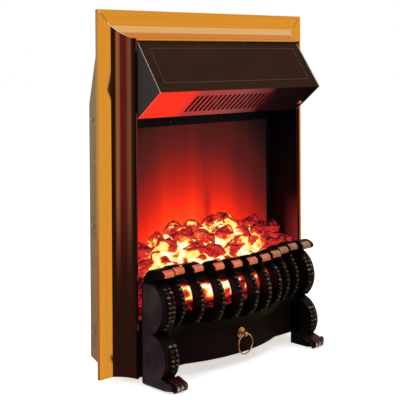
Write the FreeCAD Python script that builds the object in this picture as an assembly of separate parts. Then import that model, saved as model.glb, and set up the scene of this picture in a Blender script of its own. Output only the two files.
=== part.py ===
import FreeCAD, Part
import math
import os

# Electric fireplace insert: a brass-trimmed steel casing with a fan heater in its canopy,
# a lamp-lit flame screen and fuel bed, and a cast fret with a bow-fronted ash cover.
# Millimetres. X runs to the viewer's right, Y from the viewer to the wall, Z up from the hearth.
# Sizes in Y are given from the front face of the trim's flat band, which is Y = 0 here.
# At the end every piece is moved along Y, so that the origin is under the middle of the whole insert.

V = FreeCAD.Vector

# Sheet metal and fits
sheet = 1.0
screw_radius = 1.5
screw_head_radius = 3.2
screw_head_height = 1.8
screw_length = 4.0
hole_clearance = 0.1
running_clearance = 0.05
piece_gap = 0.3

# Brass trim
trim_width = 500.0
trim_height = 600.0
trim_lift = 14.0
trim_sheet = 1.2
band_width = 26.0
cove_width = 21.6
cove_depth = 37.7
cove_sag = 4.5
outer_return = 6.5
hem_width = 2.4
hem_depth = 8.0
lip_show = 4.2
mitre_gap = 1.0
bracket_arm = 62.0
bracket_width = 14.0
bracket_margin = 6.0
bracket_sheet = 1.5

moulding_width = band_width + cove_width + hem_width
trim_top = trim_lift + trim_height
casing_half = trim_width / 2 - moulding_width
casing_inner = casing_half - sheet
full_width = (-casing_inner, casing_inner)
casing_top = trim_top - moulding_width
casing_front = lip_show - cove_depth
hem_end = hem_depth - cove_depth
base_top = trim_lift + sheet

# Casing
casing_depth = 90.0
lean_height = 108.0
lean_in = 24.5
heel_rise = 10.0
heel_run = 24.0
rear_flange = 12.0
rear_screw_inset = 7.0
rear_screw_low = 66.0
rear_screw_drop = 26.0
fixing_hole_radius = 3.0
fixing_inset = 40.0
fixing_low = 90.0
fixing_drop = 26.0
foot_radius = 11.0
foot_inset = 35.0
foot_y = 45.0

# Canopy
canopy_gap = 2.5
canopy_height = 124.5
canopy_lip_height = 44.0
canopy_back = -35.7
canopy_reach = 55.3
canopy_flange = 14.0
canopy_tab = 18.0
slot_count = 18
slot_pitch = 10.9
slot_width = 6.2
slot_length = 44.0
slot_start = 14.0
slot_centre_x = -9.5

canopy_top = casing_top - sheet - canopy_gap
canopy_bottom = canopy_top - canopy_height
canopy_front = canopy_back - canopy_reach
canopy_edge_z = canopy_bottom + canopy_lip_height
underside_angle = math.degrees(math.atan2(canopy_lip_height, canopy_reach))
underside = FreeCAD.Placement(V(0, canopy_front, canopy_edge_z),
                              FreeCAD.Rotation(V(1, 0, 0), -underside_angle))

# Rocker switches and pilot lamp, in the plane of the canopy's underside
rocker_names = ("flame_rocker", "low_heat_rocker", "high_heat_rocker")
rocker_inset = 71.0
rocker_pitch = 19.5
rocker_s = 39.0
rocker_half_width = 5.5
rocker_half_length = 7.4
rocker_rise = 3.2
rocker_valley = 1.4
rocker_depth = 2.5
rocker_taper = 1.0
rocker_tilt = 9.0
rocker_pin_radius = 1.0
switch_half_width = 6.5
switch_half_length = 9.5
switch_wall = 0.6
switch_depth = 15.0
switch_pocket = 8.0
bezel_margin = 1.0
bezel_height = 1.5
pilot_inset = 16.0
pilot_s = 48.0
pilot_radius = 3.0
pilot_flange_radius = 4.2
pilot_flange = 1.2
pilot_length = 9.0

rocker_first_x = casing_inner - rocker_inset
pilot_x = casing_inner - pilot_inset

# Firebox
screen_front = 36.0
surround_side = 9.5
surround_head = 22.0
window_bottom = 150.0
screen_thickness = 3.0
screen_lap = 14.0
surround_screw_count = 4
surround_screw_side = 7.0
surround_screw_lift = 7.0
surround_screw_length = screen_thickness + screw_length
surround_flange = 12.0
light_slot_inset = 49.0
light_slot_bottom = 60.0
light_slot_height = 40.0
ledge_drop = 11.0
ledge_lip = 1.5
liner_screw_y = -18.0
liner_screw_low = 156.0
liner_screw_drop = 44.0
reflector_inset = 14.0
reflector_bottom = 60.0
reflector_drop = 26.0

window_half = casing_inner - surround_side
window = (-window_half, window_half)
window_top = canopy_bottom - surround_head
light_slot_half = casing_inner - light_slot_inset
liner_screw_high = canopy_bottom - liner_screw_drop
liner_screw_z = (liner_screw_low, (liner_screw_low + liner_screw_high) / 2, liner_screw_high)

# Fuel bed and coals
bed_base = 107.0
bed_ledge_width = 20.0
bed_ledge_drop = 11.0
bed_side_gap = 2.5
bed_back_gap = 1.0
bed_front_gap = 5.5
bed_apron_flat = -44.0
bed_apron_top = 158.0
bed_front_height = 62.0
bed_ridge = 124.0
bed_shoulder = 125.5
bed_ridge_y = 12.0
bed_end_height = 88.0
bed_wall = 11.0
bed_hollow = 40.0
coal_margin = 38.0
coal_columns = 8
coal_row_pitch = 23.0
coal_length = 42.0
coal_width = 23.0
coal_height = 23.0
coal_lift = 3.0
coal_smallest = 800.0
coal_facet_axis = V(1, 0.4, 0.3)
coal_facet_angle = 42.0
coal_roll = 20.0
coal_turn = 32.0
coal_stagger = 6.0

# Fret
cheek_thickness = 26.0
cheek_inset = 10.3
cheek_plate = 6.0
cheek_rib = 22.0
cheek_ease = 8.4
cheek_ease_depth = 5.0
cheek_ease_steps = ((0.0, 0.0), (0.55, 0.3), (1.0, 1.0))
toe_depth = 109.0
sole_front = -84.0
toe_tip_z = 8.0
toe_under = (-105.0, 3.5)
instep = (-93.0, 18.5)
toe_top = (-101.0, 15.5)
ankle = (-84.0, 21.0)
foot_back = -46.5
foot_height = 24.0
knee = (-95.0, 52.0)
waist = (-63.0, 88.0)
bulge = (-88.5, 128.0)
neck = (-60.0, 173.0)
curl_chin = (-79.5, 179.5)
curl_tip = (-81.5, 186.0)
curl_top = (-59.0, 193.0)
curl_heel = (-38.0, 171.0)
cheek_shoulder = 166.0
bar_count = 9
bar_margin = 21.7
bar_width = 13.0
bar_depth = 17.0
bar_round = 4.0
curl_width = 22.0
curl_round = 3.0
grille_setback = 6.5
grille_sag = 31.5
bow_sag = 28.0
bow_flat = 23.7
ogee_radius = 70.0
top_rail_depth = 9.0
top_rail_height = 12.0
bottom_rail_drop = 7.7
bottom_rail_height = 11.7
bottom_rail_depth = 20.0
bottom_rail_proud = 4.0
lug_length = 12.0
lug_depth = 6.0
lug_height = 6.0

cheek_outer = casing_half - cheek_inset
cheek_inner = cheek_outer - cheek_thickness
bow_half = cheek_inner - bow_flat
bar_pitch = 2 * (cheek_inner - bar_margin) / (bar_count - 1)
bottom_rail_bottom = waist[1] - bottom_rail_drop
lug_top = 60.0

# Ash cover and its ring pull
cover_flat = -46.0
cover_thickness = 3.0
cover_bottom = 22.0
cover_bead = 0.6
cover_bead_height = 1.5
cover_bead_lift = 3.0
rose_radius = 9.3
rose_thickness = 2.0
rose_step_radius = 6.4
rose_step = 3.6
pull_height = 57.4
pull_neck_radius = 2.6
pull_stand = 11.5
pull_ball_radius = 4.6
ring_radius = 17.4
ring_wire = 1.4
ring_hole_radius = 2.4

# Flicker spindle
spindle_y = 60.0
spindle_z = 118.0
spindle_radius = 2.5
spindle_bracket_inset = 27.0
spindle_bracket_half = 18.0
spindle_bracket_rise = 30.0
spindle_bracket_foot = 16.0
bush_radius = 5.0
bush_length = 6.0
gear_motor_radius = 22.0
gear_motor_length = 20.0
gear_motor_socket = 9.0
vane_count = 14
vane_reach = 16.0
vane_length = 20.0
vane_sheet = 0.6
vane_twist = 50.0

spindle_bracket_x = casing_inner - spindle_bracket_inset

# Lamps
lamp_y = 0.0
lamp_z = 58.0
lamp_inset = 57.0
lamp_cap_radius = 7.0
lamp_cap_length = 26.0
lamp_glass_radius = 17.5
lamp_glass_length = 80.0
lamp_belly = 0.4
lamp_tip_radius = 1.5
holder_radius = 13.0
holder_length = 32.0
holder_foot = 14.0
tray_inset = 24.0
tray_half_depth = 24.0

lamp_half = casing_inner - lamp_inset
tray_half = casing_inner - tray_inset

# Fan heater on the shelf above the firebox
fan_y = 20.0
fan_rise = 64.0
fan_radius = 24.0
fan_half = 96.0
fan_centre_x = -9.5
fan_blades = 18
fan_blade_depth = 7.0
fan_blade_sheet = 0.8
fan_disc = 2.0
fan_shaft_radius = 2.5
fan_end_gap = 6.0
fan_scroll_gap = 5.0
fan_plate_front = -8.0
fan_plate_back = 54.0
fan_plate_rise = 36.0
stator_length = 20.0
stator_half = 22.0
stator_rise = 30.0
stator_bore = 9.0
armature_gap = 0.4
coil_rise = 20.0
coil_half = 13.0
heater_y = -19.0
heater_rows = 4
heater_row_pitch = 13.0
heater_first_rise = 16.0
heater_coil_radius = 3.0
heater_half = 86.0
mica_half_depth = 11.0
mica_rise = 66.0
mica_inset = 8.0
cutout_radius = 8.0
cutout_thickness = 6.0
cutout_y = 40.0
cutout_rise = 24.0

fan_z = canopy_bottom + fan_rise
fan_plate_top = fan_z + fan_plate_rise

# Mains inlet
gland_y = 62.0
gland_z = 31.0
gland_bore = 4.0
gland_body_radius = 7.0
gland_flange_radius = 9.5
gland_flange = 4.0
gland_spigot = 10.0
gland_nut = 5.0
terminal_length = 42.0
terminal_depth = 14.0
terminal_width = 18.0
terminal_lift = 12.0


# Shapes that many pieces share
def box(x, y, z):
    """A block between two values on each axis."""
    return Part.makeBox(x[1] - x[0], y[1] - y[0], z[1] - z[0], V(x[0], y[0], z[0]))


def rod_x(radius, x, y, z):
    """A round bar along X."""
    return Part.makeCylinder(radius, x[1] - x[0], V(x[0], y, z), V(1, 0, 0))


def rod_y(radius, x, y, z):
    """A round bar along Y."""
    return Part.makeCylinder(radius, y[1] - y[0], V(x, y[0], z), V(0, 1, 0))


def rod_z(radius, x, y, z):
    """A round bar along Z."""
    return Part.makeCylinder(radius, z[1] - z[0], V(x, y, z[0]), V(0, 0, 1))


def line(start, end):
    """A straight edge."""
    return Part.LineSegment(start, end).toShape()


def arc(start, middle, end):
    """A round edge through three points."""
    return Part.Arc(start, middle, end).toShape()


def side_prism(points, x):
    """A block with a straight-sided outline of (y, z) points, between two values of X."""
    corners = [V(x[0], y, z) for y, z in points]
    face = Part.Face(Part.makePolygon(corners + corners[:1]))
    return face.extrude(V(x[1] - x[0], 0, 0))


def front_prism(points, y):
    """A block with a straight-sided outline of (x, z) points, between two values of Y."""
    corners = [V(px, y[0], z) for px, z in points]
    face = Part.Face(Part.makePolygon(corners + corners[:1]))
    return face.extrude(V(0, y[1] - y[0], 0))


def offset_path(points, distance):
    """The path moved sideways by a distance, to the left of its direction, with mitred corners."""
    directions = []
    for start, end in zip(points, points[1:]):
        length = math.hypot(end[0] - start[0], end[1] - start[1])
        directions.append(((end[0] - start[0]) / length, (end[1] - start[1]) / length))
    moved = []
    for index, (y, z) in enumerate(points):
        before = directions[max(index - 1, 0)]
        after = directions[min(index, len(directions) - 1)]
        normal = (-before[1] - after[1], before[0] + after[0])
        scale = distance / (1 + before[0] * after[0] + before[1] * after[1])
        moved.append((y + normal[0] * scale, z + normal[1] * scale))
    return moved


def folded_sheet(points, thickness, x):
    """A sheet folded along a path of (y, z) points, with its thickness to the left of the path."""
    return side_prism(points + offset_path(points, thickness)[::-1], x)


def mirrored(shape):
    """The same piece on the other side of the insert."""
    return shape.mirror(V(0, 0, 0), V(1, 0, 0))


def on_underside(shape):
    """A piece drawn flat (x, along the underside, into the canopy), moved to the canopy's underside."""
    placed = shape.copy()
    placed.Placement = underside.multiply(placed.Placement)
    return placed


def screw(point, direction, length):
    """A pan-head screw: its head stands on the point, its shank runs along the direction."""
    head_start = point - direction * screw_head_height
    head = Part.makeCylinder(screw_head_radius, screw_head_height, head_start, direction)
    head = head.makeFillet(screw_head_height / 2, [head.Edges[2]])
    shank = Part.makeCylinder(screw_radius, length, point, direction)
    return head.fuse(shank).removeSplitter()


def screw_hole(point, direction, length):
    """The clearance hole for such a screw."""
    start = point - direction * length
    return Part.makeCylinder(screw_radius + hole_clearance, 2 * length, start, direction)


# Plan curve of the bow front, shared by the grille's rails, its bars, the ash cover and the fuel bed
def bow_radius(sag):
    """The radius of the bow's long arc, which meets the reverse curves without a corner."""
    return (bow_half ** 2 + sag ** 2) / (2 * sag) - ogee_radius


def bow_join(sag):
    """Where the long arc meets the reverse curve, measured along X from the middle."""
    return bow_radius(sag) * bow_half / (bow_radius(sag) + ogee_radius)


def bow_at(x, sag=bow_sag):
    """How far the bow front lies behind its middle at a given X."""
    distance = abs(x)
    if distance >= bow_half:
        return sag
    if distance > bow_join(sag):
        return sag - ogee_radius + math.sqrt(ogee_radius ** 2 - (bow_half - distance) ** 2)
    return bow_radius(sag) - math.sqrt(bow_radius(sag) ** 2 - distance ** 2)


def bow_edges(flat_y, half_length, z, sag):
    """The bow front's curve: flat ends, a reverse curve at each side and a long arc between them."""
    join = bow_join(sag)
    turn = (bow_half + join) / 2

    def point(x):
        return V(x, flat_y - sag + bow_at(x, sag), z)

    edges = [arc(point(-bow_half), point(-turn), point(-join)),
             arc(point(-join), point(0), point(join)),
             arc(point(join), point(turn), point(bow_half))]
    if half_length > bow_half:
        edges.insert(0, line(point(-half_length), point(-bow_half)))
        edges.append(line(point(bow_half), point(half_length)))
    return edges


def bow_band(flat_y, depth, half_length, z, sag=bow_sag):
    """A band that follows the bow front, of even depth, between two heights."""
    front = bow_edges(flat_y, half_length, z[0], sag)
    back = [edge.translated(V(0, depth, 0)) for edge in front]
    start = front[0].Vertexes[0].Point
    end = front[-1].Vertexes[-1].Point
    sides = [line(start, start + V(0, depth, 0)), line(end, end + V(0, depth, 0))]
    wire = Part.Wire(Part.__sortEdges__(front + back + sides))
    return Part.Face(wire).extrude(V(0, 0, z[1] - z[0]))


def bow_plan(flat_y, back_y, half_length, z):
    """A block with the bow front's curve in front and a straight back."""
    front = bow_edges(flat_y, half_length, z[0], bow_sag)
    start = front[0].Vertexes[0].Point
    end = front[-1].Vertexes[-1].Point
    back_start = V(start.x, back_y, z[0])
    back_end = V(end.x, back_y, z[0])
    sides = [line(start, back_start), line(back_start, back_end), line(end, back_end)]
    wire = Part.Wire(Part.__sortEdges__(front + sides))
    return Part.Face(wire).extrude(V(0, 0, z[1] - z[0]))


# Brass trim
def trim_section(place):
    """The moulding's section; place turns (inset from the outer edge, y) into a point."""
    chord = V(cove_width, -cove_depth, 0)
    outward = V(cove_depth, cove_width, 0).normalize()
    middle = V(band_width, 0, 0) + chord * 0.5 + outward * cove_sag
    inner = middle + outward * trim_sheet
    lip = band_width + cove_width
    edges = [line(place(0, outer_return), place(0, 0)),
             line(place(0, 0), place(band_width, 0)),
             arc(place(band_width, 0), place(middle.x, middle.y), place(lip, -cove_depth)),
             line(place(lip, -cove_depth), place(moulding_width, -cove_depth)),
             line(place(moulding_width, -cove_depth), place(moulding_width, hem_end)),
             line(place(moulding_width, hem_end), place(lip + trim_sheet, hem_end)),
             arc(place(lip + trim_sheet, hem_end), place(inner.x, inner.y),
                 place(band_width, trim_sheet)),
             line(place(band_width, trim_sheet), place(trim_sheet, trim_sheet)),
             line(place(trim_sheet, trim_sheet), place(trim_sheet, outer_return)),
             line(place(trim_sheet, outer_return), place(0, outer_return))]
    return Part.Face(Part.Wire(edges))


def mitre_block(from_stile):
    """What the mitre at the top left corner takes off the stile, or off the top rail."""
    reach = 2 * moulding_width
    drop = mitre_gap / math.sqrt(2) * (1 if from_stile else -1)
    left = -trim_width / 2
    high = (left - reach, trim_top + reach - drop)
    low = (left + reach, trim_top - reach - drop)
    corner = (low[0], high[1]) if from_stile else (high[0], low[1])
    return front_prism([high, low, corner], (-2 * cove_depth, 2 * outer_return))


def trim_stile():
    """The left upright of the trim."""
    left = -trim_width / 2
    section = trim_section(lambda inset, y: V(left + inset, y, trim_lift))
    stile = section.extrude(V(0, 0, trim_height))
    return stile.cut(mitre_block(from_stile=True))


def trim_top_rail():
    """The trim's top rail, mitred at both ends."""
    left = -trim_width / 2
    section = trim_section(lambda inset, y: V(left, y, trim_top - inset))
    rail = section.extrude(V(trim_width, 0, 0))
    corner = mitre_block(from_stile=False)
    return rail.cut(corner).cut(mirrored(corner))


def trim_bracket():
    """The angle plate that joins the mitre behind the flat band."""
    left = -trim_width / 2 + bracket_margin
    top = trim_top - bracket_margin
    depth = (trim_sheet, trim_sheet + bracket_sheet)
    upright = box((left, left + bracket_width), depth, (top - bracket_arm, top))
    level = box((left, left + bracket_arm), depth, (top - bracket_width, top))
    return upright.fuse(level).removeSplitter()


# Casing
lean_start = casing_top - lean_height
rear_path = [(casing_depth - heel_run, trim_lift), (casing_depth, trim_lift + heel_rise),
             (casing_depth, lean_start), (casing_depth - lean_in, casing_top)]
rear_screw_high = lean_start - rear_screw_drop
rear_screw_levels = [rear_screw_low, (rear_screw_low + rear_screw_high) / 2, rear_screw_high]
rear_screw_points = [(casing_depth - rear_screw_inset, z) for z in rear_screw_levels]
fixing_points = [(side * (casing_half - fixing_inset), z)
                 for side in (-1, 1) for z in (fixing_low, lean_start - fixing_drop)]


def side_panel():
    """The casing's right side, a flat sheet with a leaning back edge."""
    outline = [(casing_front, trim_lift)] + rear_path + [(casing_front, casing_top)]
    panel = side_prism(outline, (casing_inner, casing_half))
    for z in liner_screw_z:
        panel = panel.cut(screw_hole(V(casing_half, liner_screw_y, z), V(1, 0, 0), screw_length))
    for y, z in rear_screw_points:
        panel = panel.cut(screw_hole(V(casing_half, y, z), V(1, 0, 0), screw_length))
    return panel


def right_side_panel():
    """The right side also has the hole for the cable gland."""
    span = (casing_inner - sheet, casing_half + sheet)
    return side_panel().cut(rod_x(gland_body_radius + hole_clearance, span, gland_y, gland_z))


def rear_panel():
    """The folded back of the casing, with a flange inside each side and four fixing holes."""
    panel = folded_sheet(rear_path, sheet, full_width)
    inner = casing_depth - sheet
    flange = box((casing_inner - sheet, casing_inner), (inner - rear_flange, inner),
                 (rear_path[1][1] + rear_flange, lean_start - rear_flange))
    for y, z in rear_screw_points:
        flange = flange.cut(screw_hole(V(casing_half, y, z), V(1, 0, 0), screw_length))
    panel = panel.fuse([flange, mirrored(flange)])
    for x, z in fixing_points:
        panel = panel.cut(rod_y(fixing_hole_radius, x, (inner - sheet, casing_depth + sheet), z))
    return panel.removeSplitter()


def base_panel():
    """The casing's floor."""
    return box(full_width, (casing_front, rear_path[0][0] - sheet), (trim_lift, base_top))


def top_panel():
    """The casing's roof."""
    return box(full_width, (casing_front, rear_path[-1][0] - 2 * sheet), (casing_top - sheet, casing_top))


def rear_screws():
    """The screws that hold the sides to the rear panel's flanges."""
    screws = []
    for y, z in rear_screw_points:
        right = screw(V(casing_half, y, z), V(-1, 0, 0), screw_length)
        screws += [right, mirrored(right)]
    return Part.makeCompound(screws)


def rear_feet():
    """The two rubber feet under the back of the casing."""
    foot = rod_z(foot_radius, casing_half - foot_inset, foot_y, (0, trim_lift))
    return Part.makeCompound([foot, mirrored(foot)])


# Firebox
def side_liner():
    """The black inner wall on the right, flat against the casing's side."""
    liner = box((casing_inner - sheet, casing_inner), (casing_front, screen_front), (base_top, canopy_bottom))
    for z in liner_screw_z:
        liner = liner.cut(screw_hole(V(casing_inner, liner_screw_y, z), V(1, 0, 0), screw_length))
    return liner


def liner_screws():
    """The screws that show on the two liners."""
    screws = []
    for z in liner_screw_z:
        right = screw(V(casing_inner - sheet, liner_screw_y, z), V(1, 0, 0), screw_length)
        screws += [right, mirrored(right)]
    return Part.makeCompound(screws)


def heater_shelf():
    """The firebox's ceiling, which carries the fan heater."""
    return box(full_width, (canopy_back, screen_front), (canopy_bottom, canopy_bottom + sheet))


def front_apron():
    """The low plate that closes the casing's front under the fuel bed."""
    half = casing_inner - sheet
    return box((-half, half), (casing_front, casing_front + sheet), (base_top, bed_base - sheet))


surround_screw_z = window_top + surround_screw_lift
surround_screw_span = 2 * (casing_inner - surround_screw_side)
surround_screw_x = [surround_screw_span * (index / (surround_screw_count - 1) - 1 / 2)
                    for index in range(surround_screw_count)]


def screen_holes(shape):
    """The shape with the holes of the surround's four screws."""
    for x in surround_screw_x:
        shape = shape.cut(screw_hole(V(x, screen_front, surround_screw_z), V(0, 1, 0), surround_screw_length))
    return shape


def screen_surround():
    """The black plate round the flame screen, with flanges back along the casing's sides."""
    back = screen_front + sheet
    plate = box(full_width, (screen_front, back), (base_top, canopy_bottom + sheet))
    plate = plate.cut(box(window, (screen_front, back), (window_bottom, window_top)))
    light = (light_slot_bottom, light_slot_bottom + light_slot_height)
    plate = plate.cut(box((-light_slot_half, light_slot_half), (screen_front, back), light))
    flange = box((casing_inner - sheet, casing_inner), (back, back + surround_flange),
                 (base_top, canopy_bottom))
    return screen_holes(plate.fuse([flange, mirrored(flange)]).removeSplitter())


screen_back = screen_front + sheet + screen_thickness
screen_half = casing_inner - sheet - piece_gap
screen_bottom = window_bottom - screen_lap / 2
screen_top = window_top + screen_lap


def flame_screen():
    """The translucent sheet on which the flames play."""
    pane = box((-screen_half, screen_half), (screen_front + sheet, screen_back), (screen_bottom, screen_top))
    return screen_holes(pane)


def screen_retainer():
    """The strip behind the screen's top edge, which the four screws draw up."""
    strip = box((-screen_half, screen_half), (screen_back, screen_back + sheet), (window_top, screen_top))
    return screen_holes(strip)


def surround_screws():
    """The screws along the surround's top strip."""
    return Part.makeCompound([screw(V(x, screen_front, surround_screw_z), V(0, 1, 0), surround_screw_length)
                              for x in surround_screw_x])


def screen_ledge():
    """The angle that the screen stands on."""
    front = screen_front + sheet
    low = screen_bottom - sheet
    shelf = box(window, (front, screen_back + ledge_lip), (low, screen_bottom))
    leg = box(window, (front, front + sheet), (screen_bottom - ledge_drop, low))
    return shelf.fuse(leg).removeSplitter()


def rear_reflector():
    """The bright sheet on the inside of the back."""
    inner = casing_depth - sheet
    half = casing_inner - reflector_inset
    plate = box((-half, half), (inner - sheet, inner), (reflector_bottom, lean_start - reflector_drop))
    for x, z in fixing_points:
        plate = plate.cut(rod_y(2 * fixing_hole_radius, x, (inner - 2 * sheet, inner + sheet), z))
    return plate


# Fuel bed and coals
bed_half = casing_inner - sheet - bed_side_gap
bed_back = screen_front - bed_back_gap
bed_front_flat = curl_heel[0] + grille_setback + bed_front_gap
bed_ridge_half = bed_half - bed_shoulder
coal_column_pitch = 2 * (bed_half - coal_margin) / (coal_columns - 1)


def bed_ledge():
    """The angle on the right liner that the fuel bed rests on."""
    outer = casing_inner - sheet
    span = (casing_front + 2 * sheet, bed_back - sheet)
    shelf = box((outer - bed_ledge_width, outer), span, (bed_base - sheet, bed_base))
    leg = box((outer - sheet, outer), span, (bed_base - bed_ledge_drop, bed_base - sheet))
    return shelf.fuse(leg).removeSplitter()


def bed_mound():
    """The heap's plain form: bowed in plan, rising to the back, falling to both sides."""
    top = bed_base + bed_ridge
    front = bed_front_flat - bow_sag
    plan = bow_plan(bed_front_flat, bed_back, bed_half, (bed_base, top))
    slope = side_prism([(front, bed_base), (front, bed_base + bed_front_height), (bed_ridge_y, top),
                        (bed_back, top), (bed_back, bed_base)], (-bed_half, bed_half))
    fall = front_prism([(-bed_half, bed_base), (-bed_half, bed_base + bed_end_height), (-bed_ridge_half, top),
                        (bed_ridge_half, top), (bed_half, bed_base + bed_end_height), (bed_half, bed_base)],
                       (front, bed_back))
    return plan.common(slope).common(fall)


def fuel_bed():
    """The moulded, lamp-lit bed: the heap, an apron behind the bars and a hollow for the light."""
    apron_half = cheek_inner - 2 * piece_gap
    apron = bow_band(bed_apron_flat, bed_front_flat - bed_apron_flat, apron_half, (bed_base, bed_apron_top))
    hollow = box((bed_wall - bed_half, bed_half - bed_wall), (casing_front + bed_wall, bed_back - bed_wall),
                 (bed_base - sheet, bed_base + bed_hollow))
    return bed_mound().fuse(apron).removeSplitter().cut(hollow)


def bed_height(x, y):
    """The height of the heap's surface."""
    rise = (bed_ridge - bed_front_height) / (bed_ridge_y - bed_front_flat + bow_sag)
    by_depth = bed_front_height + rise * (y - bed_front_flat + bow_sag)
    fall = (bed_ridge - bed_end_height) / (bed_half - bed_ridge_half)
    by_side = bed_ridge - fall * (abs(x) - bed_ridge_half)
    return bed_base + min(bed_ridge, by_depth, by_side)


def coal(x, y, number):
    """One coal: two blocks that meet at an angle, turned a different way each time."""
    half = coal_length / 2
    first = box((-half, half), (-coal_width / 2, coal_width / 2), (-coal_height / 2, coal_height / 2))
    second = first.copy()
    second.rotate(V(0, 0, 0), coal_facet_axis, coal_facet_angle)
    lump = first.common(second)
    lump.rotate(V(0, 0, 0), V(0, 1, 0), coal_roll * math.sin(number))
    lump.rotate(V(0, 0, 0), V(0, 0, 1), coal_turn * math.cos(2 * number))
    lump.translate(V(x, y, bed_height(x, y) + coal_lift))
    return lump


def coal_lumps():
    """The coals that lie on the fuel bed, row by row from the front of each column."""
    mound = bed_mound()
    space = box((-bed_half, bed_half), (bed_front_flat - bow_sag, bed_back), (bed_base, canopy_bottom))
    lumps = []
    for column in range(coal_columns):
        x = (column - (coal_columns - 1) / 2) * coal_column_pitch
        y = bed_front_flat - bow_sag + bow_at(x) + coal_row_pitch
        while y < bed_back - coal_width / 2:
            stagger = coal_stagger * math.sin(2 * len(lumps))
            lump = coal(x + stagger, y, len(lumps)).common(space).cut([mound] + lumps)
            lumps += [solid for solid in lump.Solids if solid.Volume > coal_smallest]
            y += coal_row_pitch
    return Part.makeCompound(lumps)


# Canopy
def canopy_hood():
    """The folded hood: top flange, sloping front, underside with its slots, and a back flange."""
    path = [(canopy_back + canopy_flange, canopy_top), (canopy_back, canopy_top),
            (canopy_front, canopy_edge_z), (canopy_back, canopy_bottom),
            (canopy_back, canopy_bottom + canopy_flange)]
    half = casing_inner - 2 * sheet
    hood = folded_sheet(path, sheet, (-half, half))
    cuts = []
    through = (-2 * sheet, 2 * sheet)
    for index in range(slot_count):
        x = slot_centre_x + slot_pitch * (index - (slot_count - 1) / 2)
        width = (x - slot_width / 2, x + slot_width / 2)
        cuts.append(box(width, (slot_start, slot_start + slot_length), through))
    for index in range(len(rocker_names)):
        x = rocker_first_x + rocker_pitch * index
        reach = switch_half_width + hole_clearance
        length = switch_half_length + hole_clearance
        cuts.append(box((x - reach, x + reach), (rocker_s - length, rocker_s + length), through))
    cuts.append(rod_z(pilot_radius + hole_clearance, pilot_x, pilot_s, through))
    return hood.cut([on_underside(cut) for cut in cuts])


def canopy_end():
    """The right end of the canopy: a triangle, with a tab that steps out to the casing's side."""
    outer = casing_inner - sheet
    outline = [(canopy_back, canopy_top), (canopy_front, canopy_edge_z), (canopy_back, canopy_bottom)]
    triangle = side_prism(outline, (outer - sheet, outer))
    step = box((outer - sheet, outer), (canopy_back, casing_front + canopy_tab / 2),
               (canopy_bottom + sheet, canopy_top))
    tab = box((outer, casing_inner), (casing_front, casing_front + canopy_tab),
              (canopy_bottom + sheet, canopy_top))
    return triangle.fuse([step, tab]).removeSplitter()


def switch_body(x):
    """A snap-in rocker switch's frame and body."""
    inner_width = switch_half_width - switch_wall
    inner_length = switch_half_length - switch_wall
    bezel_width = switch_half_width + bezel_margin
    bezel_length = switch_half_length + bezel_margin
    body = box((x - switch_half_width, x + switch_half_width),
               (rocker_s - switch_half_length, rocker_s + switch_half_length), (0, switch_depth))
    bezel = box((x - bezel_width, x + bezel_width), (rocker_s - bezel_length, rocker_s + bezel_length),
                (-bezel_height, 0))
    pocket = box((x - inner_width, x + inner_width), (rocker_s - inner_length, rocker_s + inner_length),
                 (-bezel_height, switch_pocket))
    pin_hole = rod_x(rocker_pin_radius + running_clearance, (x - switch_half_width, x + switch_half_width),
                     rocker_s, rocker_depth)
    return on_underside(body.fuse(bezel).removeSplitter().cut(pocket).cut(pin_hole))


def rocker(x):
    """A rocker with its pivot pin, tilted to its off position."""
    ends = rocker_half_length
    foot = ends - rocker_taper
    outline = [(-ends, -rocker_rise), (0, -rocker_valley), (ends, -rocker_rise), (foot, rocker_depth),
               (0, 2 * rocker_depth), (-foot, rocker_depth)]
    block = side_prism(outline, (-rocker_half_width, rocker_half_width))
    pin = rod_x(rocker_pin_radius, (-switch_half_width, switch_half_width), 0, rocker_depth)
    lever = block.fuse(pin)
    lever.rotate(V(0, 0, rocker_depth), V(1, 0, 0), -rocker_tilt)
    lever.translate(V(x, rocker_s, 0))
    return on_underside(lever)


def pilot_lamp():
    """The pilot lamp: a flanged body with a domed lens."""
    body = rod_z(pilot_radius, pilot_x, pilot_s, (0, pilot_length))
    flange = rod_z(pilot_flange_radius, pilot_x, pilot_s, (-pilot_flange, 0))
    dome = Part.makeSphere(pilot_radius, V(pilot_x, pilot_s, -pilot_flange))
    return on_underside(body.fuse([flange, dome]).removeSplitter())


# Fret
def profile_point(point, x):
    """A point of the fret's side profile at a given X."""
    return V(x, point[0], point[1])


def cheek_profile(x, setback=0.0):
    """The side profile of an end cheek: curl, bulge, knee, claw foot and straight back."""
    points = {name: profile_point(point, x) for name, point in dict(
        shoulder=(casing_front, cheek_shoulder), heel=curl_heel, top=curl_top, tip=curl_tip, chin=curl_chin,
        neck=neck, bulge=bulge, waist=waist, knee=knee, ankle=ankle, instep=instep, toe=toe_top,
        tip_of_toe=(-toe_depth, toe_tip_z), under=toe_under, sole=(sole_front, 0),
        back=(casing_front, 0)).items()}
    for name in ("neck", "bulge", "waist", "knee", "ankle", "instep", "toe", "tip_of_toe", "under"):
        points[name] = points[name] + V(0, setback, 0)
    for name, share in (("tip_of_toe", 0.5), ("under", 1.0), ("sole", 1.0), ("back", 1.0)):
        points[name] = points[name] + V(0, 0, share * setback)
    edges = [line(points["back"], points["shoulder"]),
             line(points["shoulder"], points["heel"]),
             arc(points["heel"], points["top"], points["tip"]),
             line(points["tip"], points["chin"]),
             line(points["chin"], points["neck"]),
             arc(points["neck"], points["bulge"], points["waist"]),
             arc(points["waist"], points["knee"], points["ankle"]),
             arc(points["ankle"], points["instep"], points["toe"]),
             arc(points["toe"], points["tip_of_toe"], points["under"]),
             line(points["under"], points["sole"]),
             line(points["sole"], points["back"])]
    return Part.Face(Part.Wire(edges))


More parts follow.
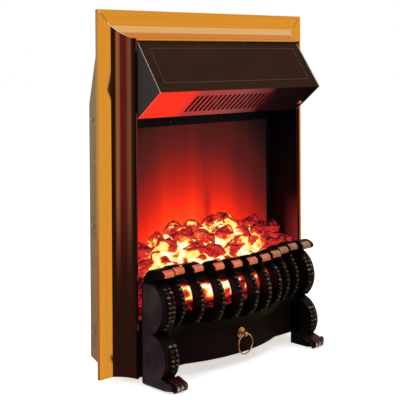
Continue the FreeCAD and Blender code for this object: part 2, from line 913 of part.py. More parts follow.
def fret_cheek():
    """The right end of the fret: a plate with an eased front edge, a solid foot and a lug for the cover."""
    ease_start = cheek_outer - cheek_ease
    body = cheek_profile(cheek_inner).extrude(V(cheek_thickness - cheek_ease, 0, 0))
    sections = [cheek_profile(ease_start + across * cheek_ease, deep * cheek_ease_depth).OuterWire
                for across, deep in cheek_ease_steps]
    cheek = body.fuse(Part.makeLoft(sections, True, True))
    pocket = cheek_profile(cheek_inner).extrude(V(cheek_thickness - cheek_plate, 0, 0))
    pocket.translate(V(0, cheek_rib, 0))
    foot = box((cheek_inner, cheek_outer), (-toe_depth, foot_back), (0, foot_height))
    back = cover_flat + cover_thickness + piece_gap
    lug = box((cheek_inner - lug_length, cheek_outer - cheek_plate), (back, back + lug_depth),
              (lug_top - lug_height, lug_top))
    return cheek.cut(pocket.cut(foot)).fuse(lug).removeSplitter()


def grille_shift(x):
    """How far a bar of the grille stands from the cheeks' profile."""
    return grille_setback - grille_sag + bow_at(x, grille_sag)


def fret_bar(x):
    """One bar: a bulging strip below, and a curl with a rounded top above."""
    left = x - bar_width / 2
    outer_points = [profile_point(point, left) for point in (waist, bulge, neck)]
    inner_points = [point + V(0, bar_depth, 0) for point in outer_points]
    edges = [arc(*outer_points), line(outer_points[2], inner_points[2]),
             arc(*inner_points[::-1]), line(inner_points[0], outer_points[0])]
    strip = Part.Face(Part.Wire(edges)).extrude(V(bar_width, 0, 0))
    long_edges = [edge for edge in strip.Edges if edge.Length > 2 * bar_width]
    long_edges.sort(key=lambda edge: edge.CenterOfMass.y)
    strip = strip.makeFillet(bar_round, long_edges[:2])
    left = x - curl_width / 2
    corners = [profile_point(point, left) for point in (curl_heel, curl_top, curl_tip, curl_chin, neck)]
    edges = [arc(*corners[:3]), line(corners[2], corners[3]), line(corners[3], corners[4]),
             line(corners[4], corners[0])]
    curl = Part.Face(Part.Wire(edges)).extrude(V(curl_width, 0, 0))
    round_edges = [edge for edge in curl.Edges if edge.Curve.TypeId == "Part::GeomCircle"]
    curl = curl.makeFillet(curl_round, round_edges)
    bar = strip.fuse(curl)
    bar.translate(V(0, grille_shift(x), 0))
    return bar


def fret_grille():
    """The barred front of the fret: bars between a top rail and a bottom rail, in one casting."""
    rail_half = cheek_inner
    top_flat = neck[0] + grille_setback
    top_rail_bottom = neck[1] - top_rail_height / 2
    top_rail = bow_band(top_flat, top_rail_depth, rail_half,
                        (top_rail_bottom, top_rail_bottom + top_rail_height), grille_sag)
    bottom_flat = waist[0] + grille_setback - bottom_rail_proud
    bottom_rail = bow_band(bottom_flat, bottom_rail_depth, rail_half,
                           (bottom_rail_bottom, bottom_rail_bottom + bottom_rail_height), grille_sag)
    bars = [fret_bar(bar_pitch * (index - (bar_count - 1) / 2)) for index in range(bar_count)]
    return top_rail.fuse([bottom_rail] + bars).removeSplitter()


# Ash cover and ring pull
def ash_cover():
    """The bow-fronted cover, with a raised line near its bottom edge and two ribs that rest on the lugs."""
    half = cheek_inner - piece_gap
    top = bottom_rail_bottom - piece_gap
    cover = bow_band(cover_flat, cover_thickness, half, (cover_bottom, top))
    bead_z = cover_bottom + cover_bead_lift
    bead = bow_band(cover_flat - cover_bead, 2 * cover_bead, half, (bead_z, bead_z + cover_bead_height))
    back = cover_flat + cover_thickness
    rib = box((cheek_inner - lug_length, half), (back - sheet, back + piece_gap + lug_depth),
              (lug_top, lug_top + lug_height))
    return cover.fuse([bead, rib, mirrored(rib)]).removeSplitter()


pull_face = cover_flat - bow_sag
pull_axis_y = pull_face - pull_stand


def pull_rose():
    """The stepped rose, its neck and the drilled ball that the ring hangs from."""
    rose = rod_y(rose_radius, 0, (pull_face - rose_thickness, pull_face), pull_height)
    step = rod_y(rose_step_radius, 0, (pull_face - rose_step, pull_face), pull_height)
    post = rod_y(pull_neck_radius, 0, (pull_axis_y, pull_face), pull_height)
    ball = Part.makeSphere(pull_ball_radius, V(0, pull_axis_y, pull_height))
    hole = rod_x(ring_hole_radius, (-2 * pull_ball_radius, 2 * pull_ball_radius), pull_axis_y, pull_height)
    return rose.fuse([step, post, ball]).removeSplitter().cut(hole)


def pull_ring():
    """The ring, hanging through the ball."""
    return Part.makeTorus(ring_radius, ring_wire, V(0, pull_axis_y, pull_height - ring_radius), V(0, 1, 0))


# Flicker spindle
def spindle_bracket():
    """The right bracket: an upright with a foot on the casing's floor and a hole for the bush."""
    x = spindle_bracket_x
    span = (spindle_y - spindle_bracket_half, spindle_y + spindle_bracket_half)
    upright = box((x, x + sheet), (span[0], span[1]), (base_top, spindle_z + spindle_bracket_rise))
    heel_y = rear_path[0][0] - 2 * sheet
    foot = box((x - spindle_bracket_foot, x), (span[0], heel_y), (base_top, base_top + sheet))
    heel = side_prism([(heel_y, base_top), (span[1], base_top), (span[1], base_top + 2 * heel_rise)],
                      (x, x + sheet))
    hole = rod_x(bush_radius + running_clearance, (x - sheet, x + 2 * sheet), spindle_y, spindle_z)
    return upright.cut(heel).fuse(foot).removeSplitter().cut(hole)


def spindle_bushes():
    """The plain bearings in the two brackets."""
    middle = spindle_bracket_x + sheet / 2
    bush = rod_x(bush_radius, (middle - bush_length / 2, middle + bush_length / 2), spindle_y, spindle_z)
    bore = rod_x(spindle_radius + running_clearance, (middle - bush_length, middle + bush_length),
                 spindle_y, spindle_z)
    bush = bush.cut(bore)
    return Part.makeCompound([bush, mirrored(bush)])


gear_motor_face = spindle_bracket_x + sheet / 2 + bush_length / 2


def gear_motor():
    """The slow motor at the spindle's left end, with a socket for the spindle."""
    face = -gear_motor_face
    body = rod_x(gear_motor_radius, (face - gear_motor_length, face), spindle_y, spindle_z)
    socket = rod_x(spindle_radius + running_clearance, (face - gear_motor_socket, face), spindle_y, spindle_z)
    return body.cut(socket)


def spindle_rod():
    """The flicker spindle's rod."""
    left = -gear_motor_face - gear_motor_socket + piece_gap
    return rod_x(spindle_radius, (left, gear_motor_face), spindle_y, spindle_z)


def spindle_vanes():
    """The foil vanes along the rod, each turned further than the last."""
    rod = rod_x(spindle_radius, (-casing_half, casing_half), spindle_y, spindle_z)
    pitch = 2 * (spindle_bracket_x - spindle_bracket_foot) / vane_count
    vanes = []
    for index in range(vane_count):
        x = pitch * (index - (vane_count - 1) / 2)
        vane = box((x - vane_length / 2, x + vane_length / 2),
                   (spindle_y - vane_reach, spindle_y + vane_reach),
                   (spindle_z - vane_sheet / 2, spindle_z + vane_sheet / 2))
        vane.rotate(V(0, spindle_y, spindle_z), V(1, 0, 0), vane_twist * index)
        vanes += vane.cut(rod).Solids
    return Part.makeCompound(vanes)


# Lamps
def lamp():
    """The right lamp: a cap in its holder and a candle-shaped glass, pointing inwards."""
    cap_end = lamp_half + lamp_cap_length / 2
    neck_x = lamp_half - lamp_cap_length / 2
    belly = lamp_glass_length * lamp_belly
    inward = V(-1, 0, 0)
    cap = rod_x(lamp_cap_radius, (neck_x, cap_end), lamp_y, lamp_z)
    swell = Part.makeCone(lamp_cap_radius, lamp_glass_radius, belly, V(neck_x, lamp_y, lamp_z), inward)
    flame = Part.makeCone(lamp_glass_radius, lamp_tip_radius, lamp_glass_length - belly,
                          V(neck_x - belly, lamp_y, lamp_z), inward)
    return cap.fuse([swell, flame]).removeSplitter()


def lamp_holder():
    """The right lamp's holder: a socket on a foot that stands on the lamp tray."""
    start = lamp_half + lamp_cap_length / 2 - holder_length / 2
    socket = rod_x(holder_radius, (start, start + holder_length), lamp_y, lamp_z)
    cap_end = lamp_half + lamp_cap_length / 2
    bore = rod_x(lamp_cap_radius + running_clearance, (start, cap_end), lamp_y, lamp_z)
    foot = box((start, start + holder_foot), (lamp_y - holder_radius, lamp_y + holder_radius),
               (base_top + sheet, lamp_z))
    return socket.fuse(foot).removeSplitter().cut(bore)


def lamp_tray():
    """The bright tray under the lamps."""
    return box((-tray_half, tray_half), (lamp_y - tray_half_depth, lamp_y + tray_half_depth),
               (base_top, base_top + sheet))


# Fan heater
shelf_top = canopy_bottom + sheet
fan_left = fan_centre_x - fan_half
fan_right = fan_centre_x + fan_half
plate_left = fan_left - fan_end_gap
plate_right = fan_right + fan_end_gap


def fan_rotor():
    """The drum of the cross-flow fan: two end discs, a middle disc and a ring of blades."""
    bore = fan_shaft_radius + running_clearance
    discs = [rod_x(fan_radius, (x, x + fan_disc), fan_y, fan_z).cut(
        rod_x(bore, (x, x + fan_disc), fan_y, fan_z))
        for x in (fan_left, fan_centre_x - fan_disc / 2, fan_right - fan_disc)]
    blades = []
    for index in range(fan_blades):
        blade = box((fan_left, fan_right), (fan_y + fan_radius - fan_blade_depth, fan_y + fan_radius - sheet),
                    (fan_z, fan_z + fan_blade_sheet))
        blade.rotate(V(fan_left, fan_y, fan_z), V(1, 0, 0), 360 / fan_blades * index)
        blades.append(blade)
    return discs[0].fuse(discs[1:] + blades).removeSplitter()


def fan_shaft():
    """The fan's shaft, with the motor's armature on its right end."""
    shaft_end = plate_right + stator_length + fan_end_gap
    shaft = rod_x(fan_shaft_radius, (plate_left - fan_end_gap, shaft_end), fan_y, fan_z)
    armature = rod_x(stator_bore - armature_gap,
                     (plate_right + fan_end_gap, plate_right + sheet + stator_length), fan_y, fan_z)
    return shaft.fuse(armature).removeSplitter()


def fan_end_plate(x):
    """A side plate of the fan's housing, standing on the shelf."""
    plate = box((x, x + sheet), (fan_plate_front, fan_plate_back), (shelf_top, fan_plate_top))
    return plate.cut(rod_x(bush_radius + running_clearance, (x - sheet, x + 2 * sheet), fan_y, fan_z))


def fan_bearings():
    """The two plain bearings of the fan's shaft."""
    bearings = []
    for x in (plate_left, plate_right):
        span = (x - sheet, x + 2 * sheet)
        bush = rod_x(bush_radius, span, fan_y, fan_z)
        bearings.append(bush.cut(rod_x(fan_shaft_radius + running_clearance, span, fan_y, fan_z)))
    return Part.makeCompound(bearings)


def fan_scroll():
    """The curved sheet behind the rotor, between the two side plates."""
    span = (plate_left + sheet, plate_right)
    inner = fan_radius + fan_scroll_gap
    shell = rod_x(inner + sheet, span, fan_y, fan_z).cut(rod_x(inner, span, fan_y, fan_z))
    mouth = box(span, (fan_y - 2 * inner, fan_y), (fan_z - 2 * inner, fan_z + 2 * inner))
    return shell.cut(mouth)


def motor_stator():
    """The fan motor's laminated stator, fixed to the right side plate."""
    start = plate_right + sheet
    block = box((start, start + stator_length), (fan_y - stator_half, fan_y + stator_half),
                (fan_z - stator_half, fan_z + stator_rise))
    return block.cut(rod_x(stator_bore, (start, start + stator_length), fan_y, fan_z))


def motor_coil():
    """The fan motor's winding, on top of the stator."""
    start = plate_right + sheet
    base = fan_z + stator_rise
    depth = (fan_y - coil_half, fan_y + coil_half)
    return box((start, start + stator_length), depth, (base, base + coil_rise))


heater_levels = [shelf_top + heater_first_rise + heater_row_pitch * index for index in range(heater_rows)]


def heater_coils():
    """The heating coils, row above row."""
    span = (fan_centre_x - heater_half, fan_centre_x + heater_half)
    return Part.makeCompound([rod_x(heater_coil_radius, span, heater_y, z) for z in heater_levels])


def heater_supports():
    """The mica plates that hold the coils."""
    plates = []
    for offset in (-1, 0, 1):
        x = fan_centre_x + offset * (heater_half - mica_inset)
        plate = box((x, x + sheet), (heater_y - mica_half_depth, heater_y + mica_half_depth),
                    (shelf_top, shelf_top + mica_rise))
        for z in heater_levels:
            hole = rod_x(heater_coil_radius + running_clearance, (x - sheet, x + 2 * sheet), heater_y, z)
            plate = plate.cut(hole)
        plates.append(plate)
    return Part.makeCompound(plates)


def thermal_cutout():
    """The thermal cut-out on the left side plate."""
    span = (plate_left - cutout_thickness, plate_left)
    return rod_x(cutout_radius, span, cutout_y, shelf_top + cutout_rise)


# Mains inlet
def cable_gland():
    """The gland in the casing's right side: flange, body, nut and spigot round one bore."""
    end = casing_half + gland_flange + gland_spigot
    body = rod_x(gland_body_radius, (casing_inner - gland_nut - sheet, end), gland_y, gland_z)
    flange = rod_x(gland_flange_radius, (casing_half, casing_half + gland_flange), gland_y, gland_z)
    nut = rod_x(gland_flange_radius, (casing_inner - gland_nut, casing_inner), gland_y, gland_z)
    bore = rod_x(gland_bore, (casing_inner - 2 * gland_nut, end), gland_y, gland_z)
    return body.fuse([flange, nut]).removeSplitter().cut(bore)


def terminal_block():
    """The terminal block on the inside of the right side, above the gland."""
    low = gland_z + terminal_lift
    return box((casing_inner - terminal_depth, casing_inner),
               (gland_y - terminal_width / 2, gland_y + terminal_width / 2), (low, low + terminal_length))


# Every piece by its name
pieces = {
    "trim_left": trim_stile(),
    "trim_top": trim_top_rail(),
    "trim_right": mirrored(trim_stile()),
    "trim_corner_brackets": Part.makeCompound([trim_bracket(), mirrored(trim_bracket())]),
    "casing_left_side": mirrored(side_panel()),
    "casing_right_side": right_side_panel(),
    "casing_rear_panel": rear_panel(),
    "casing_base": base_panel(),
    "casing_top": top_panel(),
    "rear_screws": rear_screws(),
    "rear_feet": rear_feet(),
    "left_liner": mirrored(side_liner()),
    "right_liner": side_liner(),
    "liner_screws": liner_screws(),
    "heater_shelf": heater_shelf(),
    "front_apron": front_apron(),
    "screen_surround": screen_surround(),
    "flame_screen": flame_screen(),
    "screen_retainer": screen_retainer(),
    "screen_ledge": screen_ledge(),
    "surround_screws": surround_screws(),
    "rear_reflector": rear_reflector(),
    "bed_ledges": Part.makeCompound([bed_ledge(), mirrored(bed_ledge())]),
    "fuel_bed": fuel_bed(),
    "coal_lumps": coal_lumps(),
    "canopy_hood": canopy_hood(),
    "canopy_left_end": mirrored(canopy_end()),
    "canopy_right_end": canopy_end(),
    "pilot_lamp": pilot_lamp(),
    "fret_grille": fret_grille(),
    "fret_left_cheek": mirrored(fret_cheek()),
    "fret_right_cheek": fret_cheek(),
    "ash_cover": ash_cover(),
    "pull_rose": pull_rose(),
    "pull_ring": pull_ring(),
    "spindle_brackets": Part.makeCompound([spindle_bracket(), mirrored(spindle_bracket())]),
    "spindle_bushes": spindle_bushes(),
    "gear_motor": gear_motor(),
    "spindle_rod": spindle_rod(),
    "spindle_vanes": spindle_vanes(),
    "left_lamp": mirrored(lamp()),
    "right_lamp": lamp(),
    "lamp_holders": Part.makeCompound([lamp_holder(), mirrored(lamp_holder())]),
    "lamp_tray": lamp_tray(),
    "fan_rotor": fan_rotor(),
    "fan_shaft": fan_shaft(),
    "fan_end_plates": Part.makeCompound([fan_end_plate(plate_left), fan_end_plate(plate_right)]),
    "fan_bearings": fan_bearings(),
    "fan_scroll": fan_scroll(),
    "motor_stator": motor_stator(),
    "motor_coil": motor_coil(),
    "heater_coils": heater_coils(),
    "heater_supports": heater_supports(),
    "thermal_cutout": thermal_cutout(),
    "cable_gland": cable_gland(),
    "terminal_block": terminal_block(),
}
for number, name in enumerate(rocker_names):
    place_x = rocker_first_x + rocker_pitch * number
    pieces[name] = rocker(place_x)
pieces["switch_bodies"] = Part.makeCompound(
    [switch_body(rocker_first_x + rocker_pitch * number) for number in range(len(rocker_names))])

# The origin goes under the middle of the insert's depth, from the toes to the casing's back
depth_centre = (casing_depth - toe_depth) / 2

os.makedirs("parts", exist_ok=True)
for name, shape in pieces.items():
    placed = shape.translated(V(0, -depth_centre, 0))
    placed.exportStep(os.path.join("parts", name + ".step"))
    print(name, len(placed.Solids), round(placed.Volume), placed.isValid())
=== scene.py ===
import math

import bmesh
import bpy
from mathutils import Matrix, Vector, noise


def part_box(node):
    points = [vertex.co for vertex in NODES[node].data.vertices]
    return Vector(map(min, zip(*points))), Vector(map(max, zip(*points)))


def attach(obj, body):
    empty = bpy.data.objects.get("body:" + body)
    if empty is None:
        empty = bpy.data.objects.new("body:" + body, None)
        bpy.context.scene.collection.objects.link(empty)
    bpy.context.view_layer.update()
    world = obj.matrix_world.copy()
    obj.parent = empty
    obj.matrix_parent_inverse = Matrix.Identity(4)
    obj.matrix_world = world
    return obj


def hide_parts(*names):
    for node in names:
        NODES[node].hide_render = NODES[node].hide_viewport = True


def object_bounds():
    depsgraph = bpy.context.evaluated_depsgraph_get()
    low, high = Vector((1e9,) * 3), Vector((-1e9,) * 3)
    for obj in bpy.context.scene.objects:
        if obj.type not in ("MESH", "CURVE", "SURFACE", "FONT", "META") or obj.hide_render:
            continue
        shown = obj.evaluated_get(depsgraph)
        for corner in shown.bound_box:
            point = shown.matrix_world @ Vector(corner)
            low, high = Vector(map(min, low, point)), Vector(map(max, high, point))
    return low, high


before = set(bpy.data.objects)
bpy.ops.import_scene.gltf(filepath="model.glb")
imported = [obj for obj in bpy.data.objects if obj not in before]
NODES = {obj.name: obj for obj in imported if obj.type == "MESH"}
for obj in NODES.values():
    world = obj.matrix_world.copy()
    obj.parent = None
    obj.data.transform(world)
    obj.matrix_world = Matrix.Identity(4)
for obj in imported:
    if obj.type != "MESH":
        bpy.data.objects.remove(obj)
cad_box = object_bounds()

bl_info = {
    "name": "Electric Fireplace Insert",
    "version": (1, 0, 0),
    "blender": (4, 5, 0),
    "location": "3D View > Sidebar > Hearth",
    "description": "Dresses the fireplace insert and adds its embers, coals and fret ornament",
    "category": "Object",
}

MM = 0.001
DEGREE = math.radians(1)


def linear(code):
    """An sRGB hex colour as linear red, green and blue."""
    parts = [int(code[place:place + 2], 16) / 255 for place in (1, 3, 5)]
    return tuple(part / 12.92 if part <= 0.04045 else ((part + 0.055) / 1.055) ** 2.4 for part in parts)


def length(name, description, millimetres):
    """A size that the user may change, shown in the scene's own unit."""
    return bpy.props.FloatProperty(name=name, description=description, default=millimetres * MM, min=0.0,
                                   unit="LENGTH", precision=5)


def colour(name, description, code):
    """A colour that the user may change."""
    return bpy.props.FloatVectorProperty(name=name, description=description, default=linear(code), size=3,
                                         min=0.0, max=1.0, subtype="COLOR")


class HearthSizes(bpy.types.PropertyGroup):
    """Sizes of the pieces that are modelled here."""

    bead_width: length("Bead width", "Width of a bead on a bar of the fret", 8.0)
    bead_pitch: length("Bead pitch", "Step from bead to bead along a bar", 7.6)
    bead_rise: length("Bead rise", "How far a bead stands out", 2.6)
    tip_width: length("Tip width", "Width of a curl's brass end", 20.5)
    tip_height: length("Tip height", "Height of a curl's brass end", 4.0)
    tip_thickness: length("Tip thickness", "Thickness of a curl's brass end", 2.4)
    cap_depth: length("Cap depth", "How far the brass end folds back over the curl", 6.5)
    toe_width: length("Toe width", "Width of one toe of a claw foot", 6.6)
    toe_pitch: length("Toe pitch", "Step from toe to toe across a foot", 8.6)
    toe_thickness: length("Toe thickness", "Thickness of one toe of a claw foot", 9.0)
    line_width: length("Canopy line width", "Width of the raised line on the canopy", 1.0)
    line_rise: length("Canopy line rise", "How far the raised line stands out", 0.35)
    line_side: length("Canopy line side inset", "From the canopy's ends to the raised line", 19.0)
    line_top: length("Canopy line top inset", "From the canopy's top edge to the raised line", 11.5)
    line_bottom: length("Canopy line bottom inset", "From the canopy's front edge to the raised line", 17.0)
    ember_voxel: length("Ember mesh size", "Mesh size of the ember bed before it is faceted", 3.2)
    ember_swell: length("Ember swell", "Height of the lumps moulded in the ember bed", 12.0)
    coal_voxel: length("Coal mesh size", "Mesh size of the coals before they are faceted", 2.2)
    coal_swell: length("Coal swell", "Depth of the hollows in the coals", 6.0)
    glow_reach: length("Glow reach", "How far the light of the gaps climbs up a coal", 7.0)


class HearthColours(bpy.types.PropertyGroup):
    """Colours of the finishes."""

    brass: colour("Brass", "Polished, lacquered brass of the trim", "#E8B06A")
    # Partly painted reflection: the streaks stand for the room mirrored along the brass, as well as lines
    # drawn in the sheet.
    brass_dull_and_reflection: colour("Brass streak", "Where the lacquer has dulled", "#E0A75F")
    zinc: colour("Zinc", "Zinc-coated casing", "#B9A47C")
    zinc_dark: colour("Zinc shade", "Darker spangle of the casing", "#A28D69")
    canopy: colour("Canopy paint", "Brown-black paint of the canopy's face", "#342219")
    canopy_glow: colour("Canopy glow", "Red light of the fire under the canopy", "#FE3624")
    slate: colour("Slate paint", "Paint of the canopy's ends", "#3A3431")
    stove_black: colour("Stove black", "Satin paint inside the fire", "#0E0A0A")
    iron: colour("Iron", "Black paint of the cast fret", "#100808")
    # Painted light: the cheeks' flat outer sides are painted greyer where the light from the sides falls on
    # them.
    cheek_side_light: colour("Cheek slate", "Thin, greyer paint on the cheeks' flat sides", "#3A2C2E")
    # The brass paint is real; kept to upward faces it is also a painted top-light highlight.
    brass_rub_highlight: colour("Rubbed brass", "Brass paint rubbed on the fret's high places", "#8C7763")
    toe: colour("Toe", "Thin red-brown paint of the claws", "#2C0C0A")
    # The pale tips are rubbed paint and a painted highlight together.
    toe_rub_highlight: colour("Toe rub", "Where the claws are rubbed pale", "#D2AFA2")
    tip: colour("Curl tip", "Pale brass ends of the curls", "#A88668")
    antique: colour("Antique brass", "Ring pull and its rose", "#D8B09A")
    cover: colour("Ash cover paint", "Dark brown paint of the ash cover", "#1C0D10")
    crust: colour("Crust", "Painted crust of the coals", "#120707")
    ember_red: colour("Ember red", "Red of the coals' flanks", "#B4161C")
    ember_yellow: colour("Ember yellow", "Hot places between the coals", "#F8E864")
    flame: colour("Flame", "Bright red of the flames on the screen", "#FE2B15")
    flame_core: colour("Flame core", "Orange heart of the flames", "#FE5721")
    flame_dark: colour("Flame shade", "Unlit upper part of the screen", "#541A18")
    floor: colour("Floor", "Pale studio floor", "#F7F6F4")


# Modelling helpers
CRUMB_POINTS = 20
SAME_POINT = 0.01 * MM
RAY_START = 100.0 * MM


def deselect():
    """Leaves nothing selected."""
    bpy.ops.object.select_all(action="DESELECT")


def choose(piece):
    """Makes one object the selected and active one."""
    deselect()
    piece.select_set(True)
    bpy.context.view_layer.objects.active = piece


def added(name):
    """The primitive that was just added, under its own name."""
    piece = bpy.context.active_object
    piece.name = name
    piece.data.name = name
    return piece


def editing(piece):
    """Opens a piece in edit mode with all of it selected."""
    choose(piece)
    bpy.ops.object.mode_set(mode="EDIT")
    bpy.ops.mesh.select_mode(type="FACE")
    bpy.ops.mesh.select_all(action="SELECT")


def done_editing():
    """Points the faces outwards and leaves edit mode."""
    bpy.ops.mesh.select_all(action="SELECT")
    bpy.ops.mesh.normals_make_consistent(inside=False)
    bpy.ops.object.mode_set(mode="OBJECT")


def modified(piece, kind, **settings):
    """Adds a modifier with its settings and applies it."""
    choose(piece)
    modifier = piece.modifiers.new(kind.lower(), kind)
    for name, value in settings.items():
        setattr(modifier, name, value)
    bpy.ops.object.modifier_apply(modifier=modifier.name)


def settled(piece):
    """Puts a piece's place, turn and size into its mesh."""
    choose(piece)
    bpy.ops.object.transform_apply(location=True, rotation=True, scale=True)


def islands(shape):
    """The groups of joined points in a mesh, one after another."""
    left = set(shape.verts)
    while left:
        island, border = set(), [left.pop()]
        while border:
            point = border.pop()
            island.add(point)
            near = {edge.other_vert(point) for edge in point.link_edges} & left
            left -= near
            border.extend(near)
        yield island


def cleaned(piece, merge):
    """Merges points closer than a length, then deletes inner faces and crumbs too small to see."""
    editing(piece)
    bpy.ops.mesh.remove_doubles(threshold=merge)
    bpy.ops.mesh.dissolve_degenerate(threshold=merge / 10)
    bpy.ops.mesh.select_mode(type="FACE")
    bpy.ops.mesh.select_all(action="DESELECT")
    bpy.ops.mesh.select_interior_faces()
    bpy.ops.mesh.delete(type="FACE")
    bpy.ops.mesh.select_mode(type="VERT")
    bpy.ops.mesh.select_all(action="DESELECT")
    shape = bmesh.from_edit_mesh(piece.data)
    for island in islands(shape):
        if len(island) < CRUMB_POINTS:
            for point in island:
                point.select_set(True)
    bmesh.update_edit_mesh(piece.data)
    bpy.ops.mesh.delete(type="VERT")
    done_editing()


def copies_joined(model, places, name):
    """Copies a model to each place, each copy with its own mesh, and joins them into one piece."""
    made = []
    for place in places:
        copy = model.copy()
        copy.data = model.data.copy()
        bpy.context.scene.collection.objects.link(copy)
        copy.matrix_world = place
        made.append(copy)
    bpy.data.objects.remove(model)
    deselect()
    for copy in made:
        copy.select_set(True)
    bpy.context.view_layer.objects.active = made[0]
    bpy.ops.object.join()
    piece = added(name)
    settled(piece)
    return piece


def cad_copy(node, name):
    """A piece that starts from a CAD node's own shape, with its loose triangles merged."""
    piece = bpy.data.objects.new(name, NODES[node].data.copy())
    piece.data.name = name
    bpy.context.scene.collection.objects.link(piece)
    choose(piece)
    bpy.ops.mesh.customdata_custom_splitnormals_clear()
    editing(piece)
    bpy.ops.mesh.remove_doubles(threshold=SAME_POINT)
    done_editing()
    return piece


def met(piece, start, way):
    """Where a ray first meets an object, and the surface's direction there, or None if it misses."""
    hit, place, normal, _ = piece.ray_cast(Vector(start), Vector(way))
    return (place, normal) if hit else None


def front_of(node, x, z):
    """Where a line from the front first meets a CAD node, and the surface's direction there."""
    return met(NODES[node], (x, cad_box[0].y - RAY_START, z), (0, 1, 0))


def top_of(node, x, y):
    """Where a line from above first meets a CAD node, and the surface's direction there."""
    return met(NODES[node], (x, y, cad_box[1].z + RAY_START), (0, 0, -1))


def facing(place, normal):
    """A place whose Z axis points along a surface's direction and whose X axis stays level."""
    upward = normal.cross(Vector((1, 0, 0))).normalized()
    across = upward.cross(normal).normalized()
    turn = Matrix((across, upward, normal)).transposed().to_4x4()
    return Matrix.Translation(place) @ turn


def kept(piece, material, body="insert"):
    """Gives a finished piece its material and the body that it rides on."""
    piece.data.materials.clear()
    piece.data.materials.append(material)
    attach(piece, body)


def dress(material, *nodes):
    """Gives CAD nodes a better material in their own slots."""
    for node in nodes:
        for place in NODES[node].material_slots:
            place.material = material


# Material helpers. Sizes of patterns are in millimetres; a colour is a hex code or three linear parts.
NOISE_SPREAD = (0.3, 0.7)
GRAIN_DEPTH = 0.2


def opaque(shade):
    """A colour with its fourth part."""
    return (*(linear(shade) if isinstance(shade, str) else shade), 1.0)


def fill(tree, node, inputs):
    """Fills a node's inputs with values, colours or links."""
    for key, value in inputs.items():
        socket = node.inputs[key]
        if isinstance(value, bpy.types.NodeSocket):
            tree.links.new(value, socket)
        else:
            socket.default_value = opaque(value) if socket.type == "RGBA" else value


def add(tree, kind, inputs=None, **settings):
    """Adds a node, sets it and fills its inputs."""
    node = tree.nodes.new("ShaderNode" + kind)
    for name, value in settings.items():
        setattr(node, name, value)
    fill(tree, node, inputs or {})
    return node


def coordinates(tree, kind="Object"):
    """Places on the object, or another kind of coordinates."""
    return add(tree, "TexCoord").outputs[kind]


def split(tree, vector):
    """The X, Y and Z parts of a vector."""
    return add(tree, "SeparateXYZ", {"Vector": vector}).outputs


def figured(tree, operation, *values):
    """The result of one sum on numbers."""
    return add(tree, "Math", dict(enumerate(values)), operation=operation).outputs[0]


def product(tree, share, *others):
    """Numbers multiplied together."""
    for other in others:
        share = figured(tree, "MULTIPLY", share, other)
    return share


def distance(tree, value, middle):
    """How far a number is from a middle one."""
    return figured(tree, "ABSOLUTE", figured(tree, "SUBTRACT", value, middle))


def ranged(tree, value, low, high, first=0.0, last=1.0, blend="LINEAR"):
    """A number that goes from first to last, and no further, while a value goes from low to high."""
    ends = {"From Min": low, "From Max": high, "To Min": first, "To Max": last}
    return add(tree, "MapRange", {"Value": value, **ends}, interpolation_type=blend).outputs["Result"]


def mixed(tree, share, under, over):
    """One colour laid over another by a share."""
    return add(tree, "Mix", {"Factor": share, "A": under, "B": over}, data_type="RGBA").outputs["Result"]


def graded(tree, share, stops):
    """A colour ramp with stops at shares from 0 to 1."""
    node = add(tree, "ValToRGB", {"Fac": share})
    elements = node.color_ramp.elements
    elements.remove(elements[-1])
    for number, (position, shade) in enumerate(stops):
        element = elements.new(position) if number else elements[0]
        element.position = position
        element.color = opaque(shade)
    return node.outputs["Color"]


def graded_along(tree, value, stops, unit=MM):
    """A colour ramp with stops at real values, from the first one to the last."""
    first, last = stops[0][0], stops[-1][0]
    share = ranged(tree, value, first * unit, last * unit)
    return graded(tree, share, [((place - first) / (last - first), shade) for place, shade in stops])


def stretched(tree, where, scale):
    """Places scaled along each axis, so that a pattern is drawn out."""
    return add(tree, "Mapping", {"Vector": where, "Scale": scale}).outputs[0]


def cloudy(tree, where, size, detail=2.0, **inputs):
    """Soft noise with patches of a size."""
    inputs = {"Vector": where, "Scale": 1 / (size * MM), "Detail": detail, **inputs}
    return add(tree, "TexNoise", inputs).outputs["Fac"]


def bumped(tree, height, strength, depth, **inputs):
    """The surface's direction, changed by a fine relief of a depth."""
    inputs = {"Height": height, "Strength": strength, "Distance": depth * MM, **inputs}
    return add(tree, "Bump", inputs).outputs["Normal"]


def new_material(name):
    """A new material, its emptied tree and the places on the object."""
    material = bpy.data.materials.new(name)
    material.use_nodes = True
    material.node_tree.nodes.clear()
    return material, material.node_tree, coordinates(material.node_tree)


def shaded(material, inputs):
    """Ends a material with its shader."""
    shader = add(material.node_tree, "BsdfPrincipled", inputs)
    add(material.node_tree, "OutputMaterial", {"Surface": shader.outputs[0]})
    return material


def changed(material, inputs):
    """Gives the shader of a finished material other inputs."""
    fill(material.node_tree, material.node_tree.nodes["Principled BSDF"], inputs)
    return material


def glowing(material, shade, strength):
    """Adds a glow to a finished material."""
    return changed(material, {"Emission Color": shade, "Emission Strength": strength})


def grained(name, light, dark, grain, stretch=(1, 1, 1), rough=(0.35, 0.5), bump=0.1, metallic=0.0,
            specular=0.5, transmission=0.0):
    """A material that wanders between two colours and two roughnesses, with grain of a size."""
    material, tree, where = new_material(name)
    pattern = cloudy(tree, stretched(tree, where, stretch), grain, 4.0, Roughness=0.6)
    return shaded(material, {
        "Base Color": graded(tree, pattern, zip(NOISE_SPREAD, (dark, light))),
        "Roughness": ranged(tree, pattern, *NOISE_SPREAD, *rough),
        "Normal": bumped(tree, pattern, bump, GRAIN_DEPTH * grain),
        "Metallic": metallic,
        "Specular IOR Level": specular,
        "Transmission Weight": transmission,
    })


def dress_each(finishes):
    """Dresses nodes from rows of a name, a light and a dark colour, a grain, settings and the nodes."""
    for name, light, dark, grain, settings, *nodes in finishes:
        dress(grained(name, light, dark, grain, **settings), *nodes)


# Trim
BAND_LEAN = 9 * DEGREE
FLAT_FRONT = (-0.96, -0.99)
LIP_REFLECTION_BAND = (3.2 * MM, 2.4 * MM)


